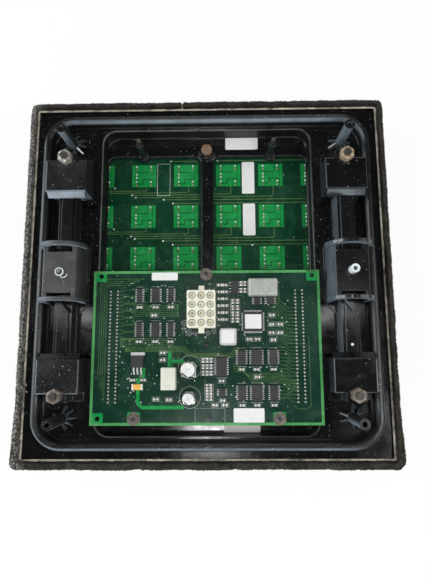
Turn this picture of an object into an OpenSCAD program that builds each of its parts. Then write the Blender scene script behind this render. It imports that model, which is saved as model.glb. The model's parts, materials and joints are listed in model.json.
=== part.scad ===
// LED display module for an outdoor sign, lying on its louvred front with its back up.
// A moulded housing clamps the lamp board against the front panel. The driver board
// stands on posts in the housing's recess, and two quarter-turn latches lie beside it.
// X runs across the module, Y along the latches, Z out of the back. Millimetres.

/* [Pixel grid] */
// Distance between neighbouring pixels
pixel_pitch = 34; // [33:0.25:36]
// Room left between one module and the next
module_gap = 2; // [1:0.5:3]
// Distance between the two rows of lamps in one pixel
lamp_row_gap = 11.7; // [10:0.1:13]
// Distance between neighbouring lamps in one row
lamp_step = 6.5; // [6:0.1:7]

/* [Front panel] */
// Depth of the louvre blades
louver_depth = 9.5; // [8:0.5:12]
// Thickness of a louvre blade
louver_t = 1.6; // [1.2:0.1:2.4]
// Thickness of the face plate
face_t = 2.5; // [2:0.1:3.5]
// Corner radius of the front panel and the housing
corner_r = 5; // [4:0.5:8]
// Diameter of one lamp
lamp_d = 5; // [4.5:0.1:5.4]
// Height of one lamp above its board
lamp_h = 8.6; // [7.5:0.1:10]
// Rim round the lamp's foot
lamp_rim = 0.25; // [0.2:0.05:0.3]
// Diameter of the hole that lets a nut driver reach the latch
access_d = 12; // [11:0.5:14]

/* [Boards] */
// Thickness of both circuit boards
board_t = 1.6; // [1.2:0.1:2.4]
// Room between the face plate and the lamp board
led_gap = 2; // [1.5:0.1:3]
// Room for solder points between the lamp board and the housing
solder_room = 2.1; // [1.8:0.1:3]
// Margin of the driver board beyond its corner holes at the sides
board_side_margin = 5.5; // [4:0.5:8]
// Margin of the driver board above its top fastener
board_top_margin = 2.8; // [2.5:0.1:3]
// Margin of the driver board below its bottom fasteners
board_bottom_margin = 4.6; // [4:0.1:6]
// Height of the posts that carry the driver board
standoff_h = 16.4; // [14:0.2:18]
// Diameter of those posts
standoff_d = 6; // [5:0.5:7]

/* [Housing] */
// Wall of the skirt
skirt_t = 3; // [2.5:0.1:4]
// Thickness of the moulded floors
floor_t = 2.5; // [2:0.1:3]
// Width of the recess that holds the boards
recess_w = 160; // [152:1:164]
// Length of the recess
recess_l = 230; // [224:1:232]
// Corner radius of the recess
recess_r = 10; // [6:0.5:14]
// Depth of the recess below the gutter
recess_depth = 12; // [10:0.5:14]
// Width of the bar between the two windows
bar_w = 9.5; // [9:0.5:12]
// Width of the ledge above and below the windows
window_ledge = 16; // [14:0.5:20]
// Corner radius of the windows
window_r = 6; // [3:0.5:10]
// Distance from the middle of the raised lip to the module's middle
lip_half = 120.5; // [119:0.25:122]
// Thickness of the lip
lip_t = 5.5; // [4:0.5:6]
// Corner radius at the middle of the lip
lip_r = 19.5; // [16:0.5:24]
// Height of the lip above the gutter
lip_h = 9.5; // [8:0.5:12]
// Height of the gasket flange above the gutter
flange_step = 3.8; // [3:0.1:5]
// Height of the corner posts above the gutter
post_h = 31; // [26:0.5:36]
// Diameter of a corner post
post_d = 7.2; // [6.5:0.1:8]
// Diameter of the screw hole in a corner post
post_hole_d = 3.5; // [2.5:0.1:4.5]
// Depth of that hole
post_hole_depth = 20; // [10:1:25]
// Reach of the gussets round a corner post
gusset_reach = 5; // [3:0.5:6]

/* [Gasket] */
// Width of the foam strip
foam_w = 4.2; // [3:0.1:5]
// Height of the foam strip
foam_h = 6; // [4:0.5:8]
// Thickness of the adhesive tape under the foam
tape_t = 0.3; // [0.2:0.1:0.6]
// Part of the tape that shows inside the foam
tape_show = 1.4; // [0.5:0.1:2]

/* [Latches] */
// Sliding travel of a latch bar in a quarter turn
bar_travel = 3.5; // [2.5:0.1:3.6]
// Width of a latch bar
latch_bar_w = 8; // [6:0.5:9]
// Thickness of a latch bar
latch_bar_t = 3.5; // [2.5:0.1:4]
// Diameter of the drive shaft
shaft_d = 6; // [5.5:0.1:6.4]
// Bore in the back end of the drive shaft
shaft_bore_d = 3; // [2:0.1:3.5]
// Thickness of the scroll disc on the shaft
disc_t = 3; // [2.5:0.1:3.2]
// Radius of the latch cover's round back
cover_r = 14.2; // [14:0.1:15]
// Wall of the latch cover and of the guide blocks
cover_t = 2.2; // [1.8:0.1:2.3]
// Height of the flat on the latch cover above the gutter
cover_flat_h = 21; // [19:0.5:23]
// Length of that flat
cover_flat_l = 29; // [26:0.5:32]
// Open slot between the flat and an arched rib
cover_gap = 3.6; // [2:0.1:5]
// Thickness of the arched ribs at both ends of the cover
cover_rib_t = 2.6; // [2:0.1:4]
// Outer radius of those ribs
cover_rib_r = 16.8; // [15:0.1:17.5]
// Width of a guide block
guide_w = 30; // [28:0.5:31]
// Length of a guide block
guide_l = 24; // [22:0.5:26]
// Height of a guide block
guide_h = 17.8; // [16:0.2:20]
// Distance of a guide block's middle from the latch shaft
guide_y = 72; // [70:0.5:74]
// Thread diameter of the guide block studs
stud_d = 5; // [4.5:0.5:6]
// Width across flats of their nuts
nut_af = 9; // [8:0.5:11]
// Height of the nuts
nut_h = 5; // [4:0.5:6]

/* [Hidden] */
$fn = 48;
pixel_count = 8;
overall = pixel_count * pixel_pitch - module_gap;
half_grid = (pixel_count - 1) / 2;
fastener_x = 1.5 * pixel_pitch;
corner_hole_x = 2.25 * pixel_pitch;
post_x = 3 * pixel_pitch;
latch_x = 3 * pixel_pitch;

// Levels, from the louvre tips upwards
face_top = louver_depth + face_t;
led_z = face_top + led_gap;
led_top = led_z + board_t;
panel_z = led_top + solder_room;
panel_top = panel_z + floor_t;
board_z = panel_top + standoff_h;
board_top = board_z + board_t;
gutter_top = panel_top + recess_depth;
gutter_z = gutter_top - floor_t;
flange_top = gutter_top + flange_step;
lip_top = gutter_top + lip_h;
tape_top = flange_top + tape_t;

// Clearances
fit = 0.05;
shaft_room = 1;
slide_gap = 0.2;
lamp_gap = 0.25;
rim_gap = 1.5;
cut = 1;

// Boards
led_board_w = overall - 2 * skirt_t - 2 * rim_gap;
board_w = 2 * (corner_hole_x + board_side_margin);
board_h = 3 * pixel_pitch + board_top_margin + board_bottom_margin;
board_y = board_top_margin - board_h / 2;
board_hole_d = 4;
peg_d = 3.4;
clamp_d = 9;
boss_d = 13;
boss_rise = 4;
boss_inset = 13;
screw_y = recess_l / 2 - boss_inset;
window_margin = 1;
board_stud_d = 3;
board_stud_rise = 4.2;
board_nut_af = 5.5;
board_nut_h = 2.4;
panel_screw_d = 4;
panel_screw_head_d = 8.4;
panel_screw_head_h = 3;
gusset_count = 9;
gusset_t = 1.4;
gusset_h = 5;
gusset_foot_h = 1;

// Foam strip's joint
joint_gap = 1;
joint_x = -18.5;

// Latch levels above the gutter
track_t = 1.5;
track_margin = 1;
disc_z = 4.5;
disc_room = 0.5;
bearing_d = 12;
bar_clearance = 0.8;
bar_z = disc_z + disc_t + bar_clearance;
bar_top = bar_z + latch_bar_t;
cheek_t = 2;
cheek_rise = 2.4;
rail_w = latch_bar_w + 2 * (slide_gap + cheek_t);
shaft_hole_d = shaft_d + 2 * fit;
pin_d = 2.4;
pin_room = 0.25;
pin_margin = 1.2;
pin_lift = 0.5;
disc_margin = 0.85;
disc_r = cover_r - cover_t - disc_room;
scroll_r = disc_r - disc_margin - pin_room - pin_d / 2;
cover_centre_h = 12.5;
cover_half_l = cover_flat_l / 2 + cover_gap + cover_rib_t;
cover_slot = [6, 10, 2.4];
cover_slot_z = 1;
rail_overlap = 4;
rail_start = cover_half_l - rail_overlap;
rail_end = guide_y - guide_l / 2;
bar_grip = 6;
bar_reach = rail_end + bar_grip;
bar_end_r = 1;
fin_t = 4;
fin_w = 11;
fin_h = 4.5;
fin_l = 9.5;
fin_tuck = 2.5;
shaft_show = [1, 7];
bore_floor = 5;
drive_hex_af = 5.56;
drive_hex_l = 7;
drive_set_back = 5;
drive_z = louver_depth - drive_set_back;
tongue_w = 14;
tongue_l = 6;
tongue_drop = 0.5;
stud_offset = 1;
stud_y = guide_y + guide_l / 2 + stud_offset;
stud_rise = 2;
stud_head_h = 4;
guide_edge_r = 1.2;
guide_clip = [3, 1.6, 5];
guide_clip_z = 2;
guide_ledge_h = 4;
guide_apron = 3.6;
gate_margin = 1;
gate_rise = 2;

// Pin rows of the two stacking headers
header_pins_per_row = 32;
header_pitch = 2.54;
header_x = 66.8;
header_row_gap = 5.08;
header_y = -51.5;
header_w = 8;
header_end = 0.5;
header_l = header_pins_per_row * header_pitch + 2 * header_end;
header_socket_h = 8.5;
header_base_h = 2.5;
header_pin_t = 0.64;
solder_tip_d = 1.5;
solder_tip_h = 1;

// Twelve-way power and data connector
connector_at = [-3.3, -26];
connector_pitch = 6.35;
connector_cols = 3;
connector_rows = 4;
connector_wall = 1;
connector_h = 10;
connector_cell_d = 5;
connector_floor = 1.8;
connector_tab = [4, 3.6, 6];
connector_pin_d = 2;
connector_pin_set_back = 2;

// Places of the parts on the driver board, from the module's middle
chip_foot = 0.6;
chip_chamfer = 0.2;
narrow_chip = [3.9, 9.9, 1.8];
medium_chip = [5.6, 10.4, 2];
wide_chip = [7.5, 11, 2.4];
left_chip_rows = [-15.3, -40];
right_chip_rows = [-59.8, -84.4];
narrow_chip_cols = [-48.2, -25.6];
left_medium_col = -36.5;
right_medium_cols = [25, 47.5];
right_wide_col = 35.5;
driver_chip = [7.5, 12.8, 2.4];
driver_chip_at = [10.7, -66.3];
memory_chip = [11.5, 11.5, 4];
memory_chip_at = [15.6, -45.3];
control_chip = [14, 14, 2.4];
control_chip_at = [33.4, -34.6];
can_size = [20.5, 12, 5];
can_at = [40.9, -9.8];
can_skirt = 0.6;
can_skirt_r = 1.6;
can_edge_r = 1.2;
small_chips = [
    [36.5, -19.8, 4.4, 5.4], [46.2, -19.7, 5.4, 5.4],
    [20.6, -9.6, 5.4, 9.5], [11, -84, 4.6, 5.6]
];
small_chip_h = 1.6;
regulator_body = [8.8, 8.4, 4.4];
regulator_at = [-48.6, -62.4];
regulator_tab = [9.8, 2.2, 1.3];
regulator_lead = [1, 5, 0.8];
regulator_lead_step = 2.54;
regulator_lead_z = 2;
tantalum_size = [7.3, 4, 2.6];
tantalum_at = [-48.6, -80.1];
converter_size = [10.2, 15.2, 8];
converter_at = [-26.2, -74.2];
converter_edge_r = 0.6;
large_cap = [10, 12];
large_cap_at = [-12.4, -68];
small_cap = [8, 10];
small_cap_at = [-12.2, -87.6];
cap_base_h = 2;
cap_base_margin = 0.2;
cap_neck_z = 3.2;
cap_neck_h = 0.8;
cap_neck_depth = 0.4;

// Chip resistors and capacitors: the columns and rows of each group, and the size as they lie there.
// The first two groups stand under the chips of the left and of the right rows.
chip_part = [3, 1.6, 0.8];
stand_part = [1.6, 3, 0.8];
bypass_drop = 8.5;
chip_part_groups = [
    [concat(narrow_chip_cols, left_medium_col), [for (y = left_chip_rows) y - bypass_drop], chip_part],
    [concat(right_medium_cols, right_wide_col), [for (y = right_chip_rows) y - bypass_drop], chip_part],
    [[-52, -44.8], [-75.4], chip_part],
    [[-2.2, 0.6, 3.4], [-61.8, -66.3, -70.8], stand_part],
    [[0.4, 3.2], [-80, -84, -88], stand_part],
    [[10, 13.5], [-8, -13, -18, -23, -28, -33], chip_part],
    [[19, 22.5], [-20, -24.5, -29, -33.5], stand_part],
    [[25.2, 28], [-7, -12], stand_part]
];

// Flat shapes

module rounded(w, h, r) {
    square([w - 2 * r, h], center = true);
    square([w, h - 2 * r], center = true);
    for (x = [-1, 1], y = [-1, 1])
        translate([x * (w / 2 - r), y * (h / 2 - r)]) circle(r);
}

module ring(w, h, r, t) {
    difference() {
        rounded(w, h, r);
        rounded(w - 2 * t, h - 2 * t, max(r - t, 0.5));
    }
}

module block(size, r) {
    linear_extrude(size[2]) rounded(size[0], size[1], r);
}

// A box at z = 0 whose upright edges and top edges are all rounded
module soft_block(size, r) {
    intersection() {
        block(size, r);
        translate([0, size[1] / 2, 0]) rotate([90, 0, 0])
            linear_extrude(size[1]) soft_top(size[0], size[2], r);
        translate([-size[0] / 2, 0, 0]) rotate([90, 0, 90])
            linear_extrude(size[0]) soft_top(size[1], size[2], r);
    }
}

module soft_top(w, h, r) {
    translate([-w / 2, 0]) square([w, h - r]);
    translate([-w / 2 + r, 0]) square([w - 2 * r, h]);
    for (x = [-1, 1]) translate([x * (w / 2 - r), h - r]) circle(r);
}

module hex(af, h) {
    cylinder(h = h, d = af / cos(30), $fn = 6);
}

module at_corners(x, y) {
    for (sx = [-1, 1], sy = [-1, 1]) translate([sx * x, sy * y, 0]) children();
}

// Housing

// Round bead along the top of the lip: four straight runs and four quarter turns
module lip_bead() {
    straight = 2 * (lip_half - lip_r);
    bead_r = lip_t / 2;
    for (turn = [0:90:270]) rotate([0, 0, turn]) {
        translate([lip_half, straight / 2, 0]) rotate([90, 0, 0]) cylinder(h = straight, r = bead_r);
        translate([lip_half - lip_r, lip_half - lip_r, 0])
            rotate_extrude(angle = 90) translate([lip_r, 0]) circle(bead_r);
    }
}

module windows() {
    window_w = (recess_w - bar_w) / 2 - window_margin;
    window_l = recess_l - 2 * window_ledge;
    for (side = [-1, 1]) translate([side * (bar_w + window_w) / 2, 0]) rounded(window_w, window_l, window_r);
}

// Slim upright gussets that stand like a star round the foot of a post
module star_gussets() {
    reach = post_d / 2 + gusset_reach;
    for (k = [0:gusset_count - 1]) rotate([90, 0, k * 360 / gusset_count])
        translate([0, 0, -gusset_t / 2]) linear_extrude(gusset_t)
            polygon([[0, 0], [reach, 0], [reach, gusset_foot_h], [post_d / 2, gusset_h], [0, gusset_h]]);
}

module housing_shell() {
    lip_out = 2 * lip_half + lip_t;
    recess_out_w = recess_w + 2 * floor_t;
    recess_out_l = recess_l + 2 * floor_t;
    translate([0, 0, face_top]) linear_extrude(flange_top - face_top)
        ring(overall, overall, corner_r, skirt_t);
    translate([0, 0, flange_top - floor_t]) linear_extrude(floor_t) difference() {
        rounded(overall, overall, corner_r);
        rounded(lip_out - lip_t, lip_out - lip_t, lip_r);
    }
    translate([0, 0, gutter_z]) linear_extrude(lip_top - lip_t / 2 - gutter_z)
        ring(lip_out, lip_out, lip_r + lip_t / 2, lip_t);
    translate([0, 0, lip_top - lip_t / 2]) lip_bead();
    translate([0, 0, gutter_z]) linear_extrude(floor_t) difference() {
        rounded(lip_out - lip_t, lip_out - lip_t, lip_r);
        rounded(recess_w, recess_l, recess_r);
    }
    translate([0, 0, panel_z]) linear_extrude(gutter_top - panel_z) difference() {
        rounded(recess_out_w, recess_out_l, recess_r + floor_t);
        rounded(recess_w, recess_l, recess_r);
    }
    translate([0, 0, panel_z]) linear_extrude(floor_t) difference() {
        rounded(recess_out_w, recess_out_l, recess_r + floor_t);
        difference() {
            windows();
            for (x = [-1, 1], y = [-1, 1]) translate([x * fastener_x, y * post_x]) circle(standoff_d);
        }
    }
}

module housing_posts() {
    at_corners(post_x, post_x) {
        translate([0, 0, gutter_z]) cylinder(h = post_h + floor_t, d = post_d);
        translate([0, 0, gutter_top]) star_gussets();
        translate([0, 0, led_top]) cylinder(h = gutter_z - led_top, d = clamp_d);
    }
    for (y = [-1, 1]) translate([0, y * screw_y, led_top])
        cylinder(h = panel_top + boss_rise - led_top, d = boss_d);
    for (place = concat([[0, 0]], [for (x = [-1, 1], y = [-1, 1]) [x * fastener_x, y * post_x]]))
        translate([place[0], place[1], panel_z]) cylinder(h = board_z - panel_z, d = standoff_d);
    translate([0, -1.5 * pixel_pitch, panel_z]) {
        cylinder(h = board_z - panel_z, d = standoff_d);
        cylinder(h = board_top - panel_z, d = peg_d);
    }
}

module housing() {
    color("#15171a") difference() {
        union() {
            housing_shell();
            housing_posts();
        }
        at_corners(post_x, post_x) translate([0, 0, gutter_top + post_h - post_hole_depth])
            cylinder(h = post_hole_depth + cut, d = post_hole_d);
        for (x = [-1, 1]) translate([x * latch_x, 0, gutter_z - cut])
            cylinder(h = floor_t + 2 * cut, d = shaft_hole_d);
        at_corners(latch_x, stud_y) translate([0, 0, gutter_z - cut])
            cylinder(h = floor_t + 2 * cut, d = stud_d + 2 * fit);
        for (y = [-1, 1]) translate([0, y * screw_y, led_top - cut])
            cylinder(h = panel_top + boss_rise - led_top + 2 * cut, d = panel_screw_d + 2 * fit);
        for (place = concat([[0, 0]], [for (x = [-1, 1], y = [-1, 1]) [x * fastener_x, y * post_x]]))
            translate([place[0], place[1], board_z - standoff_h / 2])
                cylinder(h = standoff_h, d = board_stud_d + 2 * fit);
    }
}

// Gasket

module gasket_tape() {
    tape_w = foam_w + tape_show;
    color("#b9a483") translate([0, 0, flange_top]) linear_extrude(tape_t)
        ring(overall, overall, corner_r, tape_w);
}

module gasket_foam() {
    color("#1d1712") translate([0, 0, tape_top]) linear_extrude(foam_h) difference() {
        ring(overall, overall, corner_r, foam_w);
        translate([joint_x - joint_gap / 2, overall / 2 - foam_w - cut])
            square([joint_gap, foam_w + 2 * cut]);
    }
}

// Front panel, lamp board and lamps

function pixel_at(k) = (k - half_grid) * pixel_pitch;

// Places of the lamps of one colour inside a pixel: three in the left row, two in the right row
red_places = [[-lamp_row_gap / 2, lamp_step], [lamp_row_gap / 2, -lamp_step]];
green_places = [[-lamp_row_gap / 2, -lamp_step], [lamp_row_gap / 2, lamp_step]];
blue_places = [[-lamp_row_gap / 2, 0]];

module at_pixels() {
    for (kx = [0:pixel_count - 1], ky = [0:pixel_count - 1])
        translate([pixel_at(kx), pixel_at(ky)]) children();
}

module lamp_holes() {
    at_pixels() for (place = concat(red_places, green_places, blue_places))
        translate(place) circle(d = lamp_d + 2 * lamp_gap);
}

module front_panel() {
    blade_at = pixel_pitch / 2 - module_gap / 2 - louver_t;
    color("#101113") {
        translate([0, 0, louver_depth]) linear_extrude(face_t) difference() {
            rounded(overall, overall, corner_r);
            lamp_holes();
            for (x = [-1, 1]) translate([x * latch_x, 0]) circle(d = access_d);
        }
        linear_extrude(louver_depth) difference() {
            union() {
                ring(overall, overall, corner_r, louver_t);
                for (k = [0:pixel_count - 2])
                    translate([pixel_at(k) + blade_at, -overall / 2 + louver_t / 2])
                        square([louver_t, overall - louver_t]);
            }
            for (x = [-1, 1]) translate([x * latch_x, 0]) circle(d = access_d);
        }
        translate([0, 0, face_top]) {
            at_corners(post_x, post_x) cylinder(h = led_gap, d = clamp_d);
            for (y = [-1, 0, 1]) translate([0, y * screw_y, 0]) cylinder(h = led_gap, d = clamp_d);
        }
    }
}

module led_board() {
    color("#0e3a22") translate([0, 0, led_z]) linear_extrude(board_t) difference() {
        square(led_board_w, center = true);
        for (x = [-1, 1]) translate([x * latch_x, 0]) circle(d = shaft_d + 2 * shaft_room);
        for (y = [-1, 1]) translate([0, y * screw_y]) circle(d = panel_screw_d + 2 * fit);
    }
}

module lamps(places) {
    dome_z = led_z - lamp_h + lamp_d / 2;
    at_pixels() for (place = places) translate(place) {
        translate([0, 0, dome_z]) cylinder(h = led_z - dome_z, d = lamp_d);
        translate([0, 0, dome_z]) sphere(d = lamp_d);
        translate([0, 0, led_z - led_gap / 2]) cylinder(h = led_gap / 2, d = lamp_d + 2 * lamp_rim);
    }
}

module red_lamps() { color("#b8463c") lamps(red_places); }
module green_lamps() { color("#4fae6a") lamps(green_places); }
module blue_lamps() { color("#4a6fc4") lamps(blue_places); }

module panel_screws() {
    color("#7a4a2a") for (y = [-1, 1]) translate([0, y * screw_y, 0]) {
        translate([0, 0, face_top + led_gap]) cylinder(h = panel_top + boss_rise - led_z, d = panel_screw_d);
        translate([0, 0, panel_top + boss_rise]) cylinder(h = panel_screw_head_h, d = panel_screw_head_d);
    }
}

// Driver board and what is soldered to it

module driver_board() {
    color("#12462a") translate([0, 0, board_z]) linear_extrude(board_t) difference() {
        translate([0, board_y]) square([board_w, board_h], center = true);
        circle(d = board_stud_d + 2 * fit);
        for (x = [-1, 1]) {
            translate([x * fastener_x, -post_x]) circle(d = board_stud_d + 2 * fit);
            translate([x * corner_hole_x, 0]) circle(d = board_hole_d);
        }
        translate([-corner_hole_x, -post_x]) circle(d = board_hole_d);
        translate([0, -1.5 * pixel_pitch]) circle(d = board_hole_d);
    }
}

module board_studs() {
    color("#8d8f92")
        for (place = concat([[0, 0]], [for (x = [-1, 1], y = [-1, 1]) [x * fastener_x, y * post_x]]))
            translate([place[0], place[1], board_z - standoff_h / 2])
                cylinder(h = standoff_h / 2 + board_t + board_stud_rise, d = board_stud_d);
}

module board_nuts() {
    color("#55585c") for (place = [[0, 0], [-fastener_x, -post_x], [fastener_x, -post_x]])
        translate([place[0], place[1], board_top]) difference() {
            hex(board_nut_af, board_nut_h);
            translate([0, 0, -cut]) cylinder(h = board_nut_h + 2 * cut, d = board_stud_d + 2 * fit);
        }
}

module header(side) {
    color("#17181a") translate([side * header_x, header_y, 0]) {
        translate([0, 0, led_top + header_socket_h / 2])
            cube([header_w, header_l, header_socket_h], center = true);
        translate([0, 0, board_z - header_base_h / 2])
            cube([header_w, header_l, header_base_h], center = true);
    }
}

module left_header() { header(-1); }
module right_header() { header(1); }

module at_header_pins() {
    for (side = [-1, 1], row = [-1, 1], k = [0:header_pins_per_row - 1])
        translate([side * header_x + row * header_row_gap / 2,
            header_y + (k - (header_pins_per_row - 1) / 2) * header_pitch, 0]) children();
}

module header_pins() {
    pin_z = led_top + header_socket_h;
    color("#c9b37a") at_header_pins() translate([-header_pin_t / 2, -header_pin_t / 2, pin_z])
        cube([header_pin_t, header_pin_t, board_z - header_base_h - pin_z]);
}

module solder_tips() {
    color("#c4c8c4") at_header_pins() translate([0, 0, board_top])
        cylinder(h = solder_tip_h, d = solder_tip_d);
}

module at_connector_cells() {
    for (col = [0:connector_cols - 1], row = [0:connector_rows - 1])
        translate([(col - (connector_cols - 1) / 2) * connector_pitch,
            (row - (connector_rows - 1) / 2) * connector_pitch, 0]) children();
}

module connector_shell() {
    shell_w = connector_cols * connector_pitch + connector_wall;
    shell_l = connector_rows * connector_pitch + connector_wall;
    color("#d8d2bd") translate([connector_at[0], connector_at[1], board_top]) difference() {
        union() {
            block([shell_w, shell_l, connector_h], connector_wall);
            for (y = [-1, 1]) translate([0, y * (shell_l + connector_tab[1]) / 2, connector_tab[2] / 2])
                cube(connector_tab, center = true);
        }
        translate([0, 0, connector_floor]) at_connector_cells()
            cylinder(h = connector_h, d = connector_cell_d);
    }
}

module connector_pins() {
    pin_l = connector_h - connector_floor - connector_pin_set_back;
    color("#b9b6a6") translate([connector_at[0], connector_at[1], board_top + connector_floor])
        at_connector_cells() cylinder(h = pin_l, d = connector_pin_d);
}

// A chip's body: the mould's parting line leaves a step all round it
module chip(size) {
    linear_extrude(size[2] * chip_foot) square([size[0], size[1]], center = true);
    linear_extrude(size[2]) square([size[0] - 2 * chip_chamfer, size[1] - 2 * chip_chamfer], center = true);
}

module narrow_chips() {
    color("#1b1c1f") for (x = narrow_chip_cols, y = left_chip_rows)
        translate([x, y, board_top]) chip(narrow_chip);
}

module medium_chips() {
    color("#1b1c1f") {
        for (y = left_chip_rows) translate([left_medium_col, y, board_top]) chip(medium_chip);
        for (x = right_medium_cols, y = right_chip_rows) translate([x, y, board_top]) chip(medium_chip);
    }
}

module wide_chips() {
    color("#1b1c1f") for (y = right_chip_rows) translate([right_wide_col, y, board_top]) chip(wide_chip);
}

module driver_ic() {
    color("#1b1c1f") translate([driver_chip_at[0], driver_chip_at[1], board_top]) chip(driver_chip);
}

module memory_ic() {
    color("#222427") translate([memory_chip_at[0], memory_chip_at[1], board_top]) chip(memory_chip);
}

module control_ic() {
    color("#1f2124") translate([control_chip_at[0], control_chip_at[1], board_top]) chip(control_chip);
}

module small_ics() {
    color("#1b1c1f") for (c = small_chips)
        translate([c[0], c[1], board_top]) chip([c[2], c[3], small_chip_h]);
}

module oscillator_can() {
    color("#9a9ea0") translate([can_at[0], can_at[1], board_top]) {
        block([can_size[0] + 2 * can_skirt, can_size[1] + 2 * can_skirt, can_skirt], can_skirt_r);
        soft_block(can_size, can_edge_r);
    }
}

module regulator() {
    color("#191a1c") translate([regulator_at[0], regulator_at[1], board_top]) chip(regulator_body);
}

// The regulator's metal: a tab at one end, and three leads that step down to the board at the other
module regulator_leads() {
    lead_w = regulator_lead[0];
    lead_l = regulator_lead[1];
    lead_t = regulator_lead[2];
    shoulder = lead_l / 2;
    color("#b4b7b8") translate([regulator_at[0], regulator_at[1], board_top]) {
        translate([-regulator_tab[0] / 2, regulator_body[1] / 2, 0]) cube(regulator_tab);
        for (k = [-1, 0, 1]) translate([k * regulator_lead_step + lead_w / 2, -regulator_body[1] / 2, 0])
            rotate([0, -90, 0]) linear_extrude(lead_w) polygon([[regulator_lead_z, 0],
                [regulator_lead_z + lead_t, 0], [regulator_lead_z + lead_t, -shoulder - lead_t],
                [lead_t, -shoulder - lead_t], [lead_t, -lead_l], [0, -lead_l], [0, -shoulder],
                [regulator_lead_z, -shoulder]]);
    }
}

module tantalum_capacitor() {
    color("#d98a1f") translate([tantalum_at[0], tantalum_at[1], board_top]) chip(tantalum_size);
}

module converter_box() {
    color("#d9d7cc") translate([converter_at[0], converter_at[1], board_top])
        soft_block(converter_size, converter_edge_r);
}

// A can capacitor: a square foot with two cut corners, and a can with a rolled neck
module can_capacitor(d, h) {
    difference() {
        linear_extrude(cap_base_h) square(d + 2 * cap_base_margin, center = true);
        for (x = [-1, 1]) translate([x * d / 2, d / 2, -cut]) rotate([0, 0, 45])
            linear_extrude(cap_base_h + 2 * cut) square(d / 4, center = true);
    }
    difference() {
        cylinder(h = h, d = d);
        translate([0, 0, cap_neck_z]) difference() {
            cylinder(h = cap_neck_h, d = d + cut);
            translate([0, 0, -cut]) cylinder(h = cap_neck_h + 2 * cut, d = d - 2 * cap_neck_depth);
        }
    }
}

module large_capacitor() {
    color("#b9bdc0") translate([large_cap_at[0], large_cap_at[1], board_top])
        can_capacitor(large_cap[0], large_cap[1]);
}

module small_capacitor() {
    color("#b9bdc0") translate([small_cap_at[0], small_cap_at[1], board_top])
        can_capacitor(small_cap[0], small_cap[1]);
}

module chip_parts() {
    color("#9c8f78") for (group = chip_part_groups, x = group[0], y = group[1])
        translate([x, y, board_top + group[2][2] / 2]) cube(group[2], center = true);
}

// Latches: everything stands on the gutter at the latch shaft

module at_latch(side) {
    translate([side * latch_x, 0, gutter_top]) children();
}

module both_ends() {
    children();
    mirror([0, 1, 0]) children();
}

// Base plate: wide under the cover, narrowing on a slant to the rails
module track_outline() {
    wide = cover_r + track_margin;
    narrow = rail_w / 2 + track_margin;
    slant = wide - narrow;
    neck = cover_half_l + slant;
    polygon([[-wide, -cover_half_l], [-narrow, -neck], [-narrow, -rail_end], [narrow, -rail_end],
        [narrow, -neck], [wide, -cover_half_l], [wide, cover_half_l], [narrow, neck],
        [narrow, rail_end], [-narrow, rail_end], [-narrow, neck], [-wide, cover_half_l]]);
}

module track(side) {
    rail_l = rail_end - rail_start;
    bed_h = bar_z - slide_gap - track_t;
    cheek_h = bar_z + cheek_rise - track_t;
    color("#17191c") at_latch(side) difference() {
        union() {
            linear_extrude(track_t) track_outline();
            cylinder(h = disc_z - slide_gap, d = bearing_d);
            both_ends() translate([0, rail_start + rail_l / 2, track_t]) {
                translate([0, 0, bed_h / 2]) cube([rail_w, rail_l, bed_h], center = true);
                for (x = [-1, 1]) translate([x * (rail_w - cheek_t) / 2, 0, cheek_h / 2])
                    cube([cheek_t, rail_l, cheek_h], center = true);
            }
        }
        translate([0, 0, -cut]) cylinder(h = disc_z + 2 * cut, d = shaft_hole_d);
    }
}

module left_track() { track(-1); }
module right_track() { track(1); }

// Tunnel profile of the cover: upright sides and a round back
module tunnel(r, foot) {
    translate([-r, 0]) square([2 * r, cover_centre_h - foot]);
    translate([0, cover_centre_h - foot]) circle(r);
}

module along_y(l) {
    translate([0, l / 2, track_t]) rotate([90, 0, 0]) linear_extrude(l) children();
}

module half_disc(r) {
    intersection() {
        circle(r);
        translate([-r, 0]) square([2 * r, r]);
    }
}

// The round back is cut off at the flat. Beyond the flat it stays open, up to an arched rib at each end.
module cover(side) {
    color("#1a1d21") at_latch(side) difference() {
        union() {
            intersection() {
                along_y(2 * cover_half_l) tunnel(cover_r, track_t);
                translate([-cover_r, -cover_half_l - cut, track_t])
                    cube([2 * cover_r, 2 * cover_half_l + 2 * cut, cover_flat_h - track_t]);
            }
            both_ends() translate([0, cover_half_l, cover_centre_h]) rotate([90, 0, 0])
                linear_extrude(cover_rib_t) half_disc(cover_rib_r);
        }
        intersection() {
            along_y(2 * cover_half_l + 2 * cut) tunnel(cover_r - cover_t, track_t);
            union() {
                translate([-cover_r, -cover_flat_l / 2 - cut, 0])
                    cube([2 * cover_r, cover_flat_l + 2 * cut, cover_flat_h - cover_t]);
                both_ends() translate([-cover_r, cover_flat_l / 2, 0])
                    cube([2 * cover_r, cover_gap + cover_rib_t + 2 * cut, cover_centre_h + cover_r]);
            }
        }
        translate([0, 0, cover_flat_h - cover_t - cut]) cylinder(h = cover_t + 2 * cut, d = shaft_hole_d);
        translate([-side * cover_r, 0, track_t + cover_slot_z + cover_slot[2] / 2])
            cube(cover_slot, center = true);
    }
}

module left_cover() { cover(-1); }
module right_cover() { cover(1); }

// Spiral slot: its radius falls evenly over a quarter turn, so that a bar slides evenly
function scroll_point(angle, shift) = let (r = scroll_r - bar_travel * (90 - angle) / 90 + shift)
    [r * cos(angle), r * sin(angle)];

module scroll_slot() {
    half = pin_d / 2 + pin_room;
    step = 6;
    outer_side = [for (a = [0:step:90]) scroll_point(a, half)];
    inner_side = [for (a = [90:-step:0]) scroll_point(a, -half)];
    polygon(concat(outer_side, inner_side));
    translate(scroll_point(0, 0)) circle(half);
    translate(scroll_point(90, 0)) circle(half);
}

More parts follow.
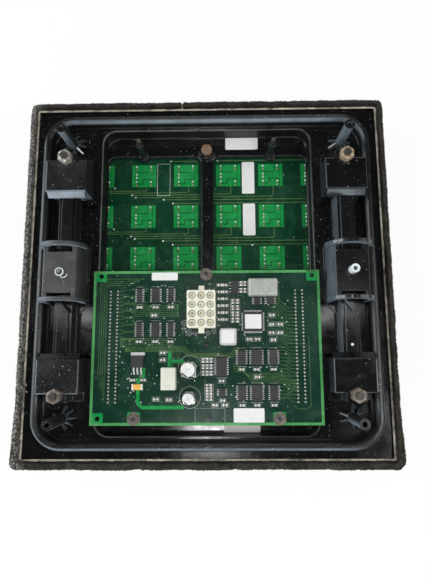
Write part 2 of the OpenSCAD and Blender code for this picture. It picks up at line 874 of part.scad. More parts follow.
module drive(side, show) {
    shaft_bottom = drive_z + drive_hex_l - gutter_top;
    shaft_top = cover_flat_h + show;
    bore_depth = show + bore_floor;
    color("#e6e6e0") at_latch(side) difference() {
        union() {
            translate([0, 0, shaft_bottom]) cylinder(h = shaft_top - shaft_bottom, d = shaft_d);
            translate([0, 0, drive_z - gutter_top]) hex(drive_hex_af, drive_hex_l);
            translate([0, 0, disc_z]) linear_extrude(disc_t) difference() {
                circle(disc_r);
                scroll_slot();
                rotate([0, 0, 180]) scroll_slot();
            }
        }
        translate([0, 0, shaft_top - bore_depth]) cylinder(h = bore_depth + cut, d = shaft_bore_d);
    }
}

module left_drive() { drive(-1, shaft_show[0]); }
module right_drive() { drive(1, shaft_show[1]); }

// A latch bar reaches from its pin in the scroll to the inside of its guide block
module latch_bar() {
    inner = scroll_r - pin_d / 2 - pin_margin;
    translate([0, (inner + bar_reach) / 2, bar_z])
        block([latch_bar_w, bar_reach - inner, latch_bar_t], bar_end_r);
    translate([0, scroll_r, disc_z + pin_lift]) cylinder(h = bar_z - disc_z, d = pin_d);
}

// Slanted fin on the lower bars, which starts under the cover's arch
module bar_fin() {
    fin_start = cover_half_l - fin_tuck;
    fin_end = fin_start + fin_l;
    translate([0, 0, bar_top]) linear_extrude(fin_h)
        polygon([[fin_w / 2 - fin_t, fin_end], [fin_w / 2, fin_end],
            [-fin_w / 2 + fin_t, fin_start], [-fin_w / 2, fin_start]]);
}

module upper_bar(side) {
    color("#202327") at_latch(side) latch_bar();
}

module lower_bar(side) {
    color("#202327") at_latch(side) mirror([0, 1, 0]) {
        latch_bar();
        bar_fin();
    }
}

module left_upper_bar() { upper_bar(-1); }
module right_upper_bar() { upper_bar(1); }
module left_lower_bar() { lower_bar(-1); }
module right_lower_bar() { lower_bar(1); }

// Guide block: a hollow cover with a sloped apron over its gate, and a solid tongue for the stud
module guide(side) {
    gate_w = rail_w + 2 * gate_margin;
    gate_h = bar_top + gate_rise;
    inside = [guide_w - 2 * cover_t, guide_l - 2 * cover_t, guide_h - cover_t];
    near = guide_y - guide_l / 2;
    far = guide_y + guide_l / 2;
    apron_w = guide_w - 2 * guide_edge_r;
    apron_top = guide_h - guide_edge_r;
    apron_low = bar_top + bar_clearance - apron_top;
    clip_at = [(gate_w + guide_clip[0]) / 2, near - guide_clip[1] / 2, guide_clip_z + guide_clip[2] / 2];
    color("#1a1c20") at_latch(side) difference() {
        union() {
            difference() {
                translate([0, guide_y, 0]) soft_block([guide_w, guide_l, guide_h], guide_edge_r);
                translate([0, guide_y, inside[2] / 2 - cut])
                    cube([inside[0], inside[1], inside[2] + 2 * cut], center = true);
                translate([-gate_w / 2, near - cut, -cut]) cube([gate_w, cover_t + 2 * cut, gate_h + cut]);
            }
            translate([0, far + tongue_l / 2 - cover_t, 0])
                block([tongue_w, tongue_l + 2 * cover_t, guide_h - tongue_drop], guide_edge_r);
            translate([-guide_w / 2, far - cut, 0]) cube([guide_w, tongue_l + cut, guide_ledge_h]);
            for (x = [-1, 1]) translate([x * clip_at[0], clip_at[1], clip_at[2]])
                cube(guide_clip, center = true);
            translate([-apron_w / 2, near, apron_top]) rotate([90, 0, 90]) linear_extrude(apron_w)
                polygon([[cover_t, 0], [0, 0], [-guide_apron, -guide_apron], [-guide_apron, apron_low],
                    [cover_t, apron_low]]);
        }
        translate([0, stud_y, -cut]) cylinder(h = guide_h + 2 * cut, d = stud_d + 2 * fit);
    }
}

module left_upper_guide() { guide(-1); }
module right_upper_guide() { guide(1); }
module left_lower_guide() { mirror([0, 1, 0]) guide(-1); }
module right_lower_guide() { mirror([0, 1, 0]) guide(1); }

module guide_studs() {
    stud_l = floor_t + guide_h + nut_h + stud_rise;
    color("#9b9890") at_corners(latch_x, stud_y) {
        translate([0, 0, gutter_z]) cylinder(h = stud_l, d = stud_d);
        translate([0, 0, gutter_z - stud_head_h]) hex(nut_af, stud_head_h);
    }
}

module guide_nuts() {
    color("#8c7658") at_corners(latch_x, stud_y) translate([0, 0, gutter_top + guide_h]) difference() {
        hex(nut_af, nut_h);
        translate([0, 0, -cut]) cylinder(h = nut_h + 2 * cut, d = stud_d + 2 * fit);
    }
}

housing();
gasket_tape();
gasket_foam();
front_panel();
led_board();
red_lamps();
green_lamps();
blue_lamps();
panel_screws();
driver_board();
board_studs();
board_nuts();
left_header();
right_header();
header_pins();
solder_tips();
connector_shell();
connector_pins();
narrow_chips();
medium_chips();
wide_chips();
driver_ic();
memory_ic();
control_ic();
small_ics();
oscillator_can();
regulator();
regulator_leads();
tantalum_capacitor();
converter_box();
large_capacitor();
small_capacitor();
chip_parts();
left_track();
right_track();
left_cover();
right_cover();
left_drive();
right_drive();
left_upper_bar();
left_lower_bar();
right_upper_bar();
right_lower_bar();
left_upper_guide();
left_lower_guide();
right_upper_guide();
right_lower_guide();
guide_studs();
guide_nuts();
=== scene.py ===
# %% [markdown]
# # LED sign module, seen from behind
# A square outdoor sign module lies on its louvred front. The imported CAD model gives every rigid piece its
# place, and this lesson dresses it: light, finishes, foam, solder, copper, labels and fasteners. Everything
# is in the frame of the CAD, with +Z out of the module's back. Sizes are written in millimetres and become
# metres where a mesh or a shader gets them. The noise has a fixed seed, so every run is the same.

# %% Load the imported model
import json
import math
import random
import bpy
import bmesh
from bmesh.types import BMEdge, BMFace, BMVert
from mathutils import Matrix, Vector, noise


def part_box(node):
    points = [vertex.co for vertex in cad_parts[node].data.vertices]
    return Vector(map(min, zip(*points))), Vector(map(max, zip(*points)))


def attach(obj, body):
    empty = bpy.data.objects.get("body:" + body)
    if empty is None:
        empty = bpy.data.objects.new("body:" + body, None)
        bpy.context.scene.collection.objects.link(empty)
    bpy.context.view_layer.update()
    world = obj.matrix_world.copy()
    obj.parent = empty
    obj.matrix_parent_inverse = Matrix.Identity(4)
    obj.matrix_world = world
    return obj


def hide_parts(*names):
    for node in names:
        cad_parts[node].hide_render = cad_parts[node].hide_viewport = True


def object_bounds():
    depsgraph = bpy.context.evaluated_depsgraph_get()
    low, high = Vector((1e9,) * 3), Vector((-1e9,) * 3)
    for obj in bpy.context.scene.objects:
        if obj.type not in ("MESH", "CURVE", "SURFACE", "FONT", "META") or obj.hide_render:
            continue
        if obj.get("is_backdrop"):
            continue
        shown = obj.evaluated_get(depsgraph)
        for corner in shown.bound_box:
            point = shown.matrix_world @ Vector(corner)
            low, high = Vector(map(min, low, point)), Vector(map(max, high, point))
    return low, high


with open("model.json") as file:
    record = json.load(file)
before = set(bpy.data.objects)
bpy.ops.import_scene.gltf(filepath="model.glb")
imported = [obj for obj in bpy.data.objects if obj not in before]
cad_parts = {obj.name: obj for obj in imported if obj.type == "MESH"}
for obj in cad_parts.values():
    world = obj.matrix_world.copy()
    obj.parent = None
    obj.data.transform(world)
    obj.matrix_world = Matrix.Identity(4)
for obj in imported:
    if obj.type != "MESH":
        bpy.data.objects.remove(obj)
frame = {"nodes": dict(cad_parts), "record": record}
cad_low, cad_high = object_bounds()
nodes = frame["nodes"]
scene = bpy.context.scene
scene.view_settings.view_transform = "Standard"
MM = 0.001
seed = 7
noise.seed_set(seed)
print(len(nodes), "CAD nodes,", [round(s / MM, 1) for s in cad_high - cad_low], "mm")

# %% [markdown]
# ## Camera
# The photo looks down on the module from about 35 cm, tilted by 8 degrees, through a phone's wide lens. The
# place and turn were fitted to the header pins and the pixel pads, whose pitch is known, so the render can
# be laid over the photo. A fitted camera beats a guessed one, because perspective is strong here.

# %% Camera
photo_height, focal_px, sensor_width = 577, 433, 36
camera_place = Vector((11.9, -54.3, 349.4)) * MM
camera_turns = ((8.025, "X"), (0.816, "Y"), (-0.401, "Z"))
camera_data = bpy.data.cameras.new("photo_camera")
camera_data.sensor_fit = "AUTO"
camera_data.sensor_width = sensor_width
camera_data.lens = sensor_width * focal_px / photo_height
camera_data.clip_start = 10 * MM
camera = bpy.data.objects.new("photo_camera", camera_data)
turn = Matrix.Identity(4)
for angle, axis in camera_turns:
    turn = turn @ Matrix.Rotation(math.radians(angle), 4, axis)
camera.matrix_world = Matrix.Translation(camera_place) @ turn
scene.collection.objects.link(camera)
scene.camera = camera
print("camera lens", round(camera_data.lens, 2), "mm")

# %% [markdown]
# ## Small helpers for shader trees
# A finish is a tree of nodes. A small class wraps the tree and has a short method for each kind of node,
# which sets the node's values and links its inputs, so that a material reads as a list of what it is made
# of. The same could be clicked together in the shader editor.


# %% Shader helpers
class Shading:
    """A shader tree that nodes are put into. A colour is a tuple of three, or a socket."""

    def __init__(self, tree):
        self.tree = tree

    def feed(self, value, socket):
        if isinstance(value, bpy.types.NodeSocket):
            self.tree.links.new(value, socket)
        else:
            socket.default_value = value

    def put(self, kind, inputs=None, **settings):
        node = self.tree.nodes.new("ShaderNode" + kind)
        for key, value in settings.items():
            setattr(node, key, value)
        for key, value in (inputs or {}).items():
            self.feed(value, node.inputs[key])
        return node

    def maths(self, operation, a, b=0.5, clamp=False):
        return self.put("Math", {0: a, 1: b}, operation=operation, use_clamp=clamp).outputs[0]

    def times(self, a, b):
        return self.maths("MULTIPLY", a, b)

    def plus(self, a, b):
        return self.maths("ADD", a, b)

    def minus(self, a, b):
        return self.maths("SUBTRACT", a, b)

    def most(self, a, b):
        return self.maths("MAXIMUM", a, b)

    def below(self, a, limit):
        return self.maths("LESS_THAN", a, limit)

    def size(self, a):
        return self.maths("ABSOLUTE", a)

    def blend(self, share, first, second):
        first, second = (c + (1.0,) if isinstance(c, tuple) else c for c in (first, second))
        return self.put("Mix", {0: share, 6: first, 7: second}, data_type="RGBA").outputs[2]

    def ramp(self, value, low, high, to_low=0.0, to_high=1.0):
        names = ("Value", "From Min", "From Max", "To Min", "To Max")
        return self.put("MapRange", dict(zip(names, (value, low, high, to_low, to_high)))).outputs[0]

    def noise(self, place, scale, **inputs):
        return self.put("TexNoise", {"Vector": place, "Scale": scale, **inputs}).outputs["Fac"]

    def split(self, vector):
        return self.put("SeparateXYZ", {0: vector}).outputs

    def facing(self):
        return self.split(self.put("NewGeometry").outputs["Normal"])


def new_group(name, inputs, outputs):
    tree = bpy.data.node_groups.new(name, "ShaderNodeTree")
    for label, value in inputs.items():
        kind = "NodeSocketVector" if value is None else "NodeSocketFloat"
        socket = tree.interface.new_socket(name=label, in_out="INPUT", socket_type=kind)
        if value is not None:
            socket.default_value = value
    for label in outputs:
        tree.interface.new_socket(name=label, in_out="OUTPUT", socket_type="NodeSocketFloat")
    start = tree.nodes.new("NodeGroupInput")
    end = tree.nodes.new("NodeGroupOutput")
    return Shading(tree), start.outputs, end.inputs


print("shader helpers ready")

# %% [markdown]
# ## Dust
# The back of the module has been handled and stored: a grey film lies on what faces up, with pale specks of
# lint in it. A soft noise gives the film, and a few cells of a Voronoi pattern, kept by their random
# colour, give the specks, once coarse and once fine. Both are masked by how far the surface faces up, as
# real dust is.

# %% Dust group
dust_inputs = {"Vector": None, "Film scale": 45.0, "Speck scale": 420.0, "Speck share": 0.12}
dust_group, dust_in, dust_out = new_group("dust", dust_inputs, ["Film", "Specks"])
up = dust_group.ramp(dust_group.facing()["Z"], 0.2, 0.95)
clouds = dust_group.noise(dust_in["Vector"], dust_in["Film scale"], Detail=6.0, Roughness=0.62)
clouds = dust_group.ramp(clouds, 0.36, 0.72)
dust_group.feed(dust_group.times(clouds, up), dust_out["Film"])
specks = 0.0
for finer, share in ((1.0, 1.0), (2.7, 0.8)):
    speck_scale = dust_group.times(dust_in["Speck scale"], finer)
    cells = dust_group.put("TexVoronoi", {"Vector": dust_in["Vector"], "Scale": speck_scale}).outputs
    chance = dust_group.put("SeparateColor", {0: cells["Color"]}).outputs
    kept = dust_group.below(chance[0], dust_group.times(dust_in["Speck share"], share))
    reach = dust_group.ramp(dust_group.maths("POWER", chance[1], 2.0), 0.0, 1.0, 0.07, 0.26)
    spot = dust_group.times(kept, dust_group.below(cells["Distance"], reach))
    specks = dust_group.most(specks, spot)
dust_group.feed(dust_group.times(specks, up), dust_out["Specks"])
print("dust group:", len(dust_group.tree.nodes), "nodes")

# %% [markdown]
# ## Surface grain and smudges
# Moulded plastic is never quite even: it has a fine grain from the mould and wider smudges from hands.
# Grain goes into a Bump node and smudges into roughness, so they show as changes of gloss and not as paint.

# %% Grain and smudge groups
grain_group, grain_in, grain_out = new_group("grain", {"Vector": None, "Scale": 2400.0}, ["Height"])
fine = grain_group.noise(grain_in["Vector"], grain_in["Scale"], Detail=3.0)
broad_scale = grain_group.times(grain_in["Scale"], 0.06)
broad = grain_group.noise(grain_in["Vector"], broad_scale, Detail=2.0)
grain_group.feed(grain_group.plus(fine, broad), grain_out["Height"])

smudge_group, smudge_in, smudge_out = new_group("smudge", {"Vector": None, "Scale": 60.0}, ["Mask"])
warped = smudge_group.noise(smudge_in["Vector"], smudge_in["Scale"], Detail=4.0, Distortion=1.2)
smudge_group.feed(smudge_group.ramp(warped, 0.35, 0.7), smudge_out["Mask"])
print("grain and smudge groups ready")

# %% [markdown]
# ## Rust
# The zinc has gone from some of the fasteners. Rust starts in patches and spreads with a ragged edge, which
# a noise with much detail and a narrow ramp gives. The share input moves the ramp, so each nut can have its
# own.

# %% Rust group
rust_inputs = {"Vector": None, "Scale": 350.0, "Share": 0.5}
rust_group, rust_in, rust_out = new_group("rust", rust_inputs, ["Mask", "Tone"])
patch = rust_group.noise(rust_in["Vector"], rust_in["Scale"], Detail=8.0, Roughness=0.66)
sound_share = rust_group.minus(1.0, rust_in["Share"])
patch = rust_group.minus(patch, rust_group.ramp(sound_share, 0.0, 1.0, 0.25, 0.75))
rust_group.feed(rust_group.ramp(patch, -0.05, 0.06), rust_out["Mask"])
tone = rust_group.noise(rust_in["Vector"], rust_group.times(rust_in["Scale"], 3.0))
rust_group.feed(rust_group.ramp(tone, 0.3, 0.7), rust_out["Tone"])
print("rust group ready")

# %% [markdown]
# ## A plan for every finish
# Each material starts the same way: a Principled shader, Object coordinates, and a bump made of the grain.
# A class lays that out, and a finish goes on from it with colours and gloss of its own. A Bevel node can
# round the shading of sharp edges, which catch light on a real moulding. Modelled fillets would do the same
# with many more faces.


# %% Start of a material
class Finish(Shading):
    """A material with a Principled shader, Object coordinates and a grain in its bump."""

    bump_strength = 0.35

    def __init__(self, name, roughness, grain_scale, grain_depth, **constants):
        self.material = bpy.data.materials.new(name)
        self.material.use_nodes = True
        super().__init__(self.material.node_tree)
        self.shader = self.tree.nodes["Principled BSDF"].inputs
        self.shader["Roughness"].default_value = roughness
        for label, value in constants.items():
            self.shader[label.replace("_", " ")].default_value = value
        self.place = self.put("TexCoord").outputs["Object"]
        height = self.use(grain_group, Scale=grain_scale)["Height"]
        self.bump = self.put("Bump", {"Height": height, "Strength": self.bump_strength,
                                      "Distance": grain_depth * MM})
        self.feed(self.bump.outputs["Normal"], self.shader["Normal"])

    def use(self, group, **values):
        node = self.put("Group", {"Vector": self.place}, node_tree=group.tree)
        for label, value in values.items():
            node.inputs[label.replace("_", " ")].default_value = value
        return node.outputs

    def round_edges(self, radius):
        rounded = self.put("Bevel", {"Radius": radius}, samples=4)
        self.feed(rounded.outputs["Normal"], self.bump.inputs["Normal"])

    def vary(self, mask, middle, less, more):
        return self.ramp(mask, 0.0, 1.0, middle - less, middle + more)

    def colour(self, base):
        self.feed(base, self.shader["Base Color"])

    def gloss(self, roughness):
        self.feed(roughness, self.shader["Roughness"])


finishes = {}
print("material plan ready")

# %% [markdown]
# ## Black mouldings
# Tray, latches and louvres are black plastic with a satin skin. Dust lifts the colour a little and takes
# the gloss, and specks stand out nearly white. A pale blue-grey goes on faces turned towards -X and -Y,
# and on what stands up, such as the lip and the posts: partly chalky weathering, partly a painted sheen of
# the light from those sides, with less of it towards the right side, which is left darker as painted shade.
# The gussets of the posts are painted paler in the same blue-grey, and a painted highlight runs as a pale
# line along the edge of the recess, fading to the right.
# Upright walls keep the mould's texture, so they are rougher than floors and tops. Masks by place and by
# the way a face looks give all of this on the plain CAD mesh.

# %% Where the tray is worn
gutter_floor, lip_foot, rub_fade = 32.2, 37.5, 1.2
post_place, post_reach, post_edge = 102.0, 11.0, 0.35
recess_half_w, recess_half_l, recess_r = 80.0, 115.0, 10.0


def near_posts(finish, spot):
    """1 on the corner posts and their gussets, 0 elsewhere."""
    square = 0.0
    for axis in "XY":
        off = finish.minus(finish.size(spot[axis]), post_place * MM)
        square = finish.plus(finish.times(off, off), square)
    return finish.below(square, (post_reach * MM) ** 2)


def on_recess_rim(finish, spot):
    """1 on the edge of the recess, by the distance from a rounded rectangle at the gutter's floor."""
    square = 0.0
    for axis, half in (("X", recess_half_w), ("Y", recess_half_l)):
        past = finish.most(finish.minus(finish.size(spot[axis]), (half - recess_r) * MM), 0.0)
        square = finish.plus(finish.times(past, past), square)
    off = finish.size(finish.minus(finish.maths("SQRT", square), recess_r * MM))
    drop = finish.size(finish.minus(spot["Z"], gutter_floor * MM))
    beside = finish.ramp(off, 0.4 * MM, 1.0 * MM, 1.0, 0.0)
    return finish.times(beside, finish.ramp(drop, 0.8 * MM, 1.6 * MM, 1.0, 0.0))


print("masks for posts and recess")

# %% [markdown]
# ## One function for all black plastics
# The tray, the louvres and the latches are the same kind of plastic in different states: film is the share of
# dust, the chalky share how much pale blue-grey goes on, partly chalky weathering and partly painted sheen,
# rub how dull its upper parts are, the right share how much of that blue-grey is kept on the right side,
# which is left darker as painted shade, and the rim share how strong the painted highlight on the recess
# edge is. Each could be a material of its own, but then a change to one would miss the rest.

# %% Black plastics
# Pale blue-grey for chalky weathering and for painted sheen.
chalk_and_sheen_blue = (0.29, 0.34, 0.39)
film_grey = (0.16, 0.155, 0.145)
lint_grey = (0.42, 0.42, 0.40)
# Grey of the painted highlight on the edge of the recess.
rim_highlight_grey = (0.30, 0.29, 0.27)


def moulded_black(name, colour, roughness, film, specks, edge_radius, speck_scale=420.0, chalk=0.0, rub=0.0,
                  rubbed_above=0.0, shelter=1.0, gussets=0.0, rim=0.0):
    f = Finish(name, roughness, 1500.0, 0.012, Specular_IOR_Level=0.6)
    spot = f.split(f.place)
    side = f.facing()
    near = near_posts(f, spot)
    f.round_edges(f.ramp(near, 0.0, 1.0, edge_radius * MM, min(edge_radius, post_edge) * MM))
    dust = f.use(dust_group, Speck_share=specks, Speck_scale=speck_scale)
    smudge = f.use(smudge_group)["Mask"]
    base = f.blend(f.times(dust["Film"], film), colour, film_grey)
    base = f.blend(dust["Specks"], base, lint_grey)
    upper_parts = f.ramp(spot["Z"], rubbed_above * MM, (rubbed_above + rub_fade) * MM)
    # Painted sheen, partly chalky weathering: paler on faces turned towards -X and -Y, where the light comes
    # from.
    turned = f.plus(f.times(side["X"], -0.45), f.times(side["Y"], -0.9))
    weathered_and_lit = f.times(f.ramp(turned, 0.1, 0.7), upper_parts)
    # Less of it towards the right side, which stays darker: painted shade.
    weathered_and_lit = f.times(weathered_and_lit, f.ramp(spot["X"], 85 * MM, 112 * MM, 1.0, shelter))
    patchy = f.times(f.ramp(smudge, 0.0, 1.0, 1.0, 0.6), chalk)
    base = f.blend(f.times(weathered_and_lit, patchy), base, chalk_and_sheen_blue)
    # The gussets round the posts are painted paler in the same blue-grey.
    above_floor = f.ramp(spot["Z"], (gutter_floor + 0.3) * MM, (gutter_floor + 1.0) * MM)
    below_tops = f.ramp(spot["Z"], (gutter_floor + 5.0) * MM, (gutter_floor + 6.0) * MM, gussets, 0.0)
    base = f.blend(f.times(f.times(near, above_floor), below_tops), base, chalk_and_sheen_blue)
    # A painted highlight along the edge of the recess, stronger on the left and patchy.
    highlight_fade = f.ramp(spot["X"], -recess_half_w * MM, recess_half_w * MM, rim, 0.35 * rim)
    uneven_highlight = f.times(highlight_fade, f.ramp(smudge, 0.0, 1.0, 1.0, 0.45))
    f.colour(f.blend(f.times(on_recess_rim(f, spot), uneven_highlight), base, rim_highlight_grey))
    dulled = f.plus(f.vary(smudge, roughness, 0.04, 0.07), f.times(dust["Film"], 0.4 * film))
    dulled = f.plus(dulled, f.times(upper_parts, rub))
    f.gloss(f.plus(dulled, f.ramp(f.size(side["Z"]), 0.1, 0.6, 0.3, 0.0)))
    return f.material


blacks = {
    "housing_black": dict(colour=(0.0020, 0.0021, 0.0024), roughness=0.12, film=0.025, specks=0.15,
                          edge_radius=2.2, speck_scale=800.0, chalk=0.6, rub=0.15, rubbed_above=lip_foot,
                          shelter=0.45, gussets=0.14, rim=0.45),
    "latch_black": dict(colour=(0.0050, 0.0052, 0.006), roughness=0.13, film=0.03, specks=0.10,
                        edge_radius=0.8, speck_scale=800.0, chalk=0.5),
    "louver_black": dict(colour=(0.008, 0.008, 0.009), roughness=0.45, film=0.05, specks=0.02,
                         edge_radius=0.3),
    # Copies for the left latches, with more dust and more painted sheen.
    "worn_sheen_latch": dict(colour=(0.012, 0.012, 0.013), roughness=0.28, film=0.34, specks=0.34,
                       edge_radius=0.8, speck_scale=900.0, chalk=0.7, rub=0.12),
    "dusty_sheen_latch": dict(colour=(0.006, 0.006, 0.007), roughness=0.14, film=0.06, specks=0.30,
                        edge_radius=0.8, speck_scale=800.0, chalk=0.7, rub=0.08),
    # A darker copy with almost no sheen for the right latches: painted shade.
    "sheltered_latch": dict(colour=(0.0026, 0.0027, 0.003), roughness=0.13, film=0.015, specks=0.07,
                            edge_radius=0.8, speck_scale=800.0, chalk=0.06),
}
for name, values in blacks.items():
    finishes[name] = moulded_black(name, **values)
print(len(blacks), "black plastics")

# %% [markdown]
# ## Foam and tape
# The gasket is open-cell foam that has gone fuzzy. Its cells are a fine Voronoi pattern in the bump, and the
# same pattern darkens the colour towards each cell's hollow as painted shade, while the brown-black colour
# varies with a noise. Along the left side it has greyed and crumbles, which is a second noise that fades out
# across the strip. The paper-backed tape under it shows only its tan edge, stained in patches.

# %% Foam and tape
foam = Finish("foam_dark", 0.95, 900.0, 0.3, Specular_IOR_Level=0.15)
pores = foam.put("TexVoronoi", {"Vector": foam.place, "Scale": 1300.0}).outputs["Distance"]
foam.feed(0.5 * MM, foam.bump.inputs["Distance"])
foam.feed(pores, foam.bump.inputs["Height"])
patches = foam.use(smudge_group, Scale=120.0)["Mask"]
brown = foam.blend(patches, (0.013, 0.011, 0.008), (0.042, 0.036, 0.028))
# Painted shade: the colour darkens towards the middle of each cell, where the bump is hollow.
base = foam.blend(foam.ramp(pores, 0.0, 0.5, 0.55, 1.0), (0.006, 0.005, 0.004), brown)
specks = foam.use(dust_group, Speck_share=0.5, Speck_scale=1500.0)["Specks"]
crumbs = foam.ramp(foam.noise(foam.place, 800.0, Detail=3.0), 0.45, 0.62)
on_left = foam.ramp(foam.split(foam.place)["X"], -130 * MM, -124 * MM, 0.85, 0.02)
lint = foam.most(specks, foam.times(on_left, crumbs))
foam.colour(foam.blend(lint, base, (0.30, 0.29, 0.26)))
finishes["foam_dark"] = foam.material

tape = Finish("tape_tan", 0.7, 1200.0, 0.08)
stains = tape.use(smudge_group, Scale=90.0)["Mask"]
tape.colour(tape.blend(stains, (0.78, 0.71, 0.57), (0.12, 0.10, 0.075)))
finishes["tape_tan"] = tape.material
print("foam and tape")

# %% [markdown]
# ## Circuit boards
# The laminate is glass cloth under green solder mask. Where copper lies under the mask the green is bright,
# and bare laminate is dark. The weave shows as a faint grid in the bump, made of two crossed waves.


# %% Solder mask, copper and traces
def solder_mask(name, dark, light, roughness, weave):
    f = Finish(name, roughness, 1800.0, 0.03, Specular_IOR_Level=0.2)
    threads = {"Vector": f.place, "Scale": 260.0}
    across, along = (f.put("TexWave", threads, bands_direction=way).outputs["Fac"] for way in "XY")
    f.feed(f.times(f.plus(across, along), weave), f.bump.inputs["Height"])
    stains = f.use(smudge_group, Scale=70.0)["Mask"]
    dust = f.use(dust_group, Speck_share=0.085, Speck_scale=600.0)
    base = f.blend(stains, dark, light)
    base = f.blend(f.times(dust["Film"], 0.025), base, (0.30, 0.32, 0.28))
    f.colour(f.blend(f.times(dust["Specks"], 0.7), base, (0.50, 0.53, 0.47)))
    f.gloss(f.vary(stains, roughness, 0.08, 0.1))
    return f.material


greens = {
    "board_green": ((0.0022, 0.034, 0.014), (0.006, 0.050, 0.022), 0.26, 0.5),
    "driver_green": ((0.0030, 0.027, 0.0145), (0.007, 0.038, 0.022), 0.24, 0.3),
    "copper_green": ((0.005, 0.215, 0.045), (0.014, 0.29, 0.066), 0.26, 0.2),
    "border_green": ((0.055, 0.26, 0.072), (0.10, 0.33, 0.115), 0.28, 0.2),
    "trace_green": ((0.060, 0.13, 0.040), (0.10, 0.18, 0.060), 0.28, 0.2),
}
for name, values in greens.items():
    finishes[name] = solder_mask(name, *values)
print(len(greens), "solder mask finishes")

# %% [markdown]
# ## Moulded and ceramic parts
# Chips, connector, pale box, small parts, labels and ink are plain plastics, ceramics and papers. They
# differ in colour, gloss and how much dust they show, so one function with a few values makes them all.


# %% Plain plastics
def plain_plastic(name, dark, light, roughness, grain_depth=0.05, film=0.06, stain_scale=150.0):
    f = Finish(name, roughness, 1700.0, grain_depth)
    f.round_edges(0.25 * MM)
    stains = f.use(smudge_group, Scale=stain_scale)["Mask"]
    dust = f.use(dust_group, Film_scale=110.0, Speck_share=0.04, Speck_scale=900.0)
    f.colour(f.blend(f.times(dust["Film"], film), f.blend(stains, dark, light), (0.34, 0.33, 0.30)))
    f.gloss(f.vary(stains, roughness, 0.05, 0.1))
    return f.material


plastics = {
    "chip_black": ((0.011, 0.011, 0.011), (0.017, 0.017, 0.017), 0.5),
    "connector_ivory": ((0.70, 0.68, 0.54), (0.76, 0.75, 0.62), 0.42),
    "converter_ivory": ((0.63, 0.61, 0.52), (0.69, 0.67, 0.57), 0.45),
    "nylon_white": ((0.64, 0.68, 0.68), (0.72, 0.75, 0.74), 0.4),
    "tantalum_orange": ((0.72, 0.36, 0.06), (0.82, 0.46, 0.10), 0.4),
    "chip_part_grey": ((0.26, 0.22, 0.19), (0.42, 0.38, 0.36), 0.5),
    "socket_grey": ((0.46, 0.46, 0.43), (0.55, 0.55, 0.52), 0.45),
    "lamp_red": ((0.5, 0.04, 0.03), (0.6, 0.06, 0.05), 0.2),
    "lamp_green": ((0.07, 0.4, 0.12), (0.1, 0.5, 0.16), 0.2),
    "lamp_blue": ((0.05, 0.12, 0.5), (0.07, 0.16, 0.6), 0.2),
    "label_paper": ((0.70, 0.69, 0.665), (0.76, 0.75, 0.73), 0.6, 0.03, 0.05, 240.0),
    "silk_white": ((0.50, 0.55, 0.50), (0.62, 0.66, 0.61), 0.6, 0.03),
    "ink_black": ((0.012, 0.012, 0.014), (0.03, 0.03, 0.03), 0.55, 0.03, 0.02),
}
for name, values in plastics.items():
    finishes[name] = plain_plastic(name, *values)
print(len(plastics), "plain plastics and papers")

# %% [markdown]
# ## Metals
# Solder, tinned pins, plated cans and zinc-plated steel are metals with different roughness, and the rust
# group eats into the steel: where it does, metallic falls to zero and the surface gets rough and brown.
# Each row of the table gives colour, roughness, share of rust, metallic, and the dark and light tone of the
# rust where it differs.

# %% Metals
red_rust = ((0.10, 0.042, 0.016), (0.26, 0.13, 0.055))
old_rust = ((0.085, 0.055, 0.03), (0.18, 0.125, 0.075))
dark_rust = ((0.07, 0.05, 0.03), (0.15, 0.11, 0.07))
warm_rust = ((0.20, 0.10, 0.045), (0.44, 0.28, 0.15))
pale_stain = ((0.34, 0.30, 0.22), (0.42, 0.39, 0.31))
tarnish = 0.72


def metal(name, colour, roughness, rust_share, metallic, rust_tones=red_rust):
    f = Finish(name, roughness, 1100.0, 0.05)
    stains = f.use(smudge_group, Scale=260.0)["Mask"]
    rust = f.use(rust_group, Share=rust_share)
    base = f.blend(stains, colour, tuple(c * tarnish for c in colour))
    f.colour(f.blend(rust["Mask"], base, f.blend(rust["Tone"], *rust_tones)))
    f.feed(f.times(f.minus(1.0, rust["Mask"]), metallic), f.shader["Metallic"])
    f.gloss(f.maths("ADD", f.vary(stains, roughness, 0.08, 0.1), f.times(rust["Mask"], 0.4), clamp=True))
    return f.material


metals = {
    "solder": ((0.80, 0.81, 0.79), 0.34, 0.0, 0.45),
    "dull_solder": ((0.58, 0.57, 0.50), 0.4, 0.12, 0.5),
    "flux_solder": ((0.42, 0.34, 0.24), 0.4, 0.45, 0.35),
    "tinned_lead": ((0.88, 0.86, 0.84), 0.34, 0.0, 0.2),
    "pin_brass": ((0.62, 0.52, 0.32), 0.35, 0.1, 0.6),
    "can_metal": ((0.46, 0.48, 0.43), 0.5, 0.2, 0.45, pale_stain),
    "can_aluminium": ((0.62, 0.62, 0.60), 0.3, 0.0, 1.0),
    "can_top_metal": ((0.84, 0.84, 0.81), 0.45, 0.0, 0.3),
    "zinc_steel": ((0.34, 0.33, 0.30), 0.42, 0.3, 0.8),
    "pale_zinc": ((0.46, 0.44, 0.38), 0.40, 0.3, 0.6),
    "rusty_steel": ((0.30, 0.25, 0.20), 0.48, 0.55, 0.7),
    "dull_steel": ((0.24, 0.21, 0.18), 0.45, 0.45, 0.6, old_rust),
    "board_steel": ((0.22, 0.21, 0.19), 0.42, 0.35, 0.7, dark_rust),
    "dark_steel": ((0.07, 0.066, 0.06), 0.5, 0.3, 0.6),
    "brassy_steel": ((0.50, 0.40, 0.28), 0.45, 0.4, 0.6, warm_rust),
}
for name, values in metals.items():
    finishes[name] = metal(name, *values)
print(len(metals), "metals")

# %% [markdown]
# ## Finishes on the CAD nodes
# Every CAD node takes the finish of its slot in the record. A few take one of their own, because the same
# plastic or steel has aged differently from place to place, and because the latches are lit and shaded
# copies of one plastic: more dust and painted sheen on the left, a darker copy as painted shade on the
# right. The meshes themselves stay as they are.

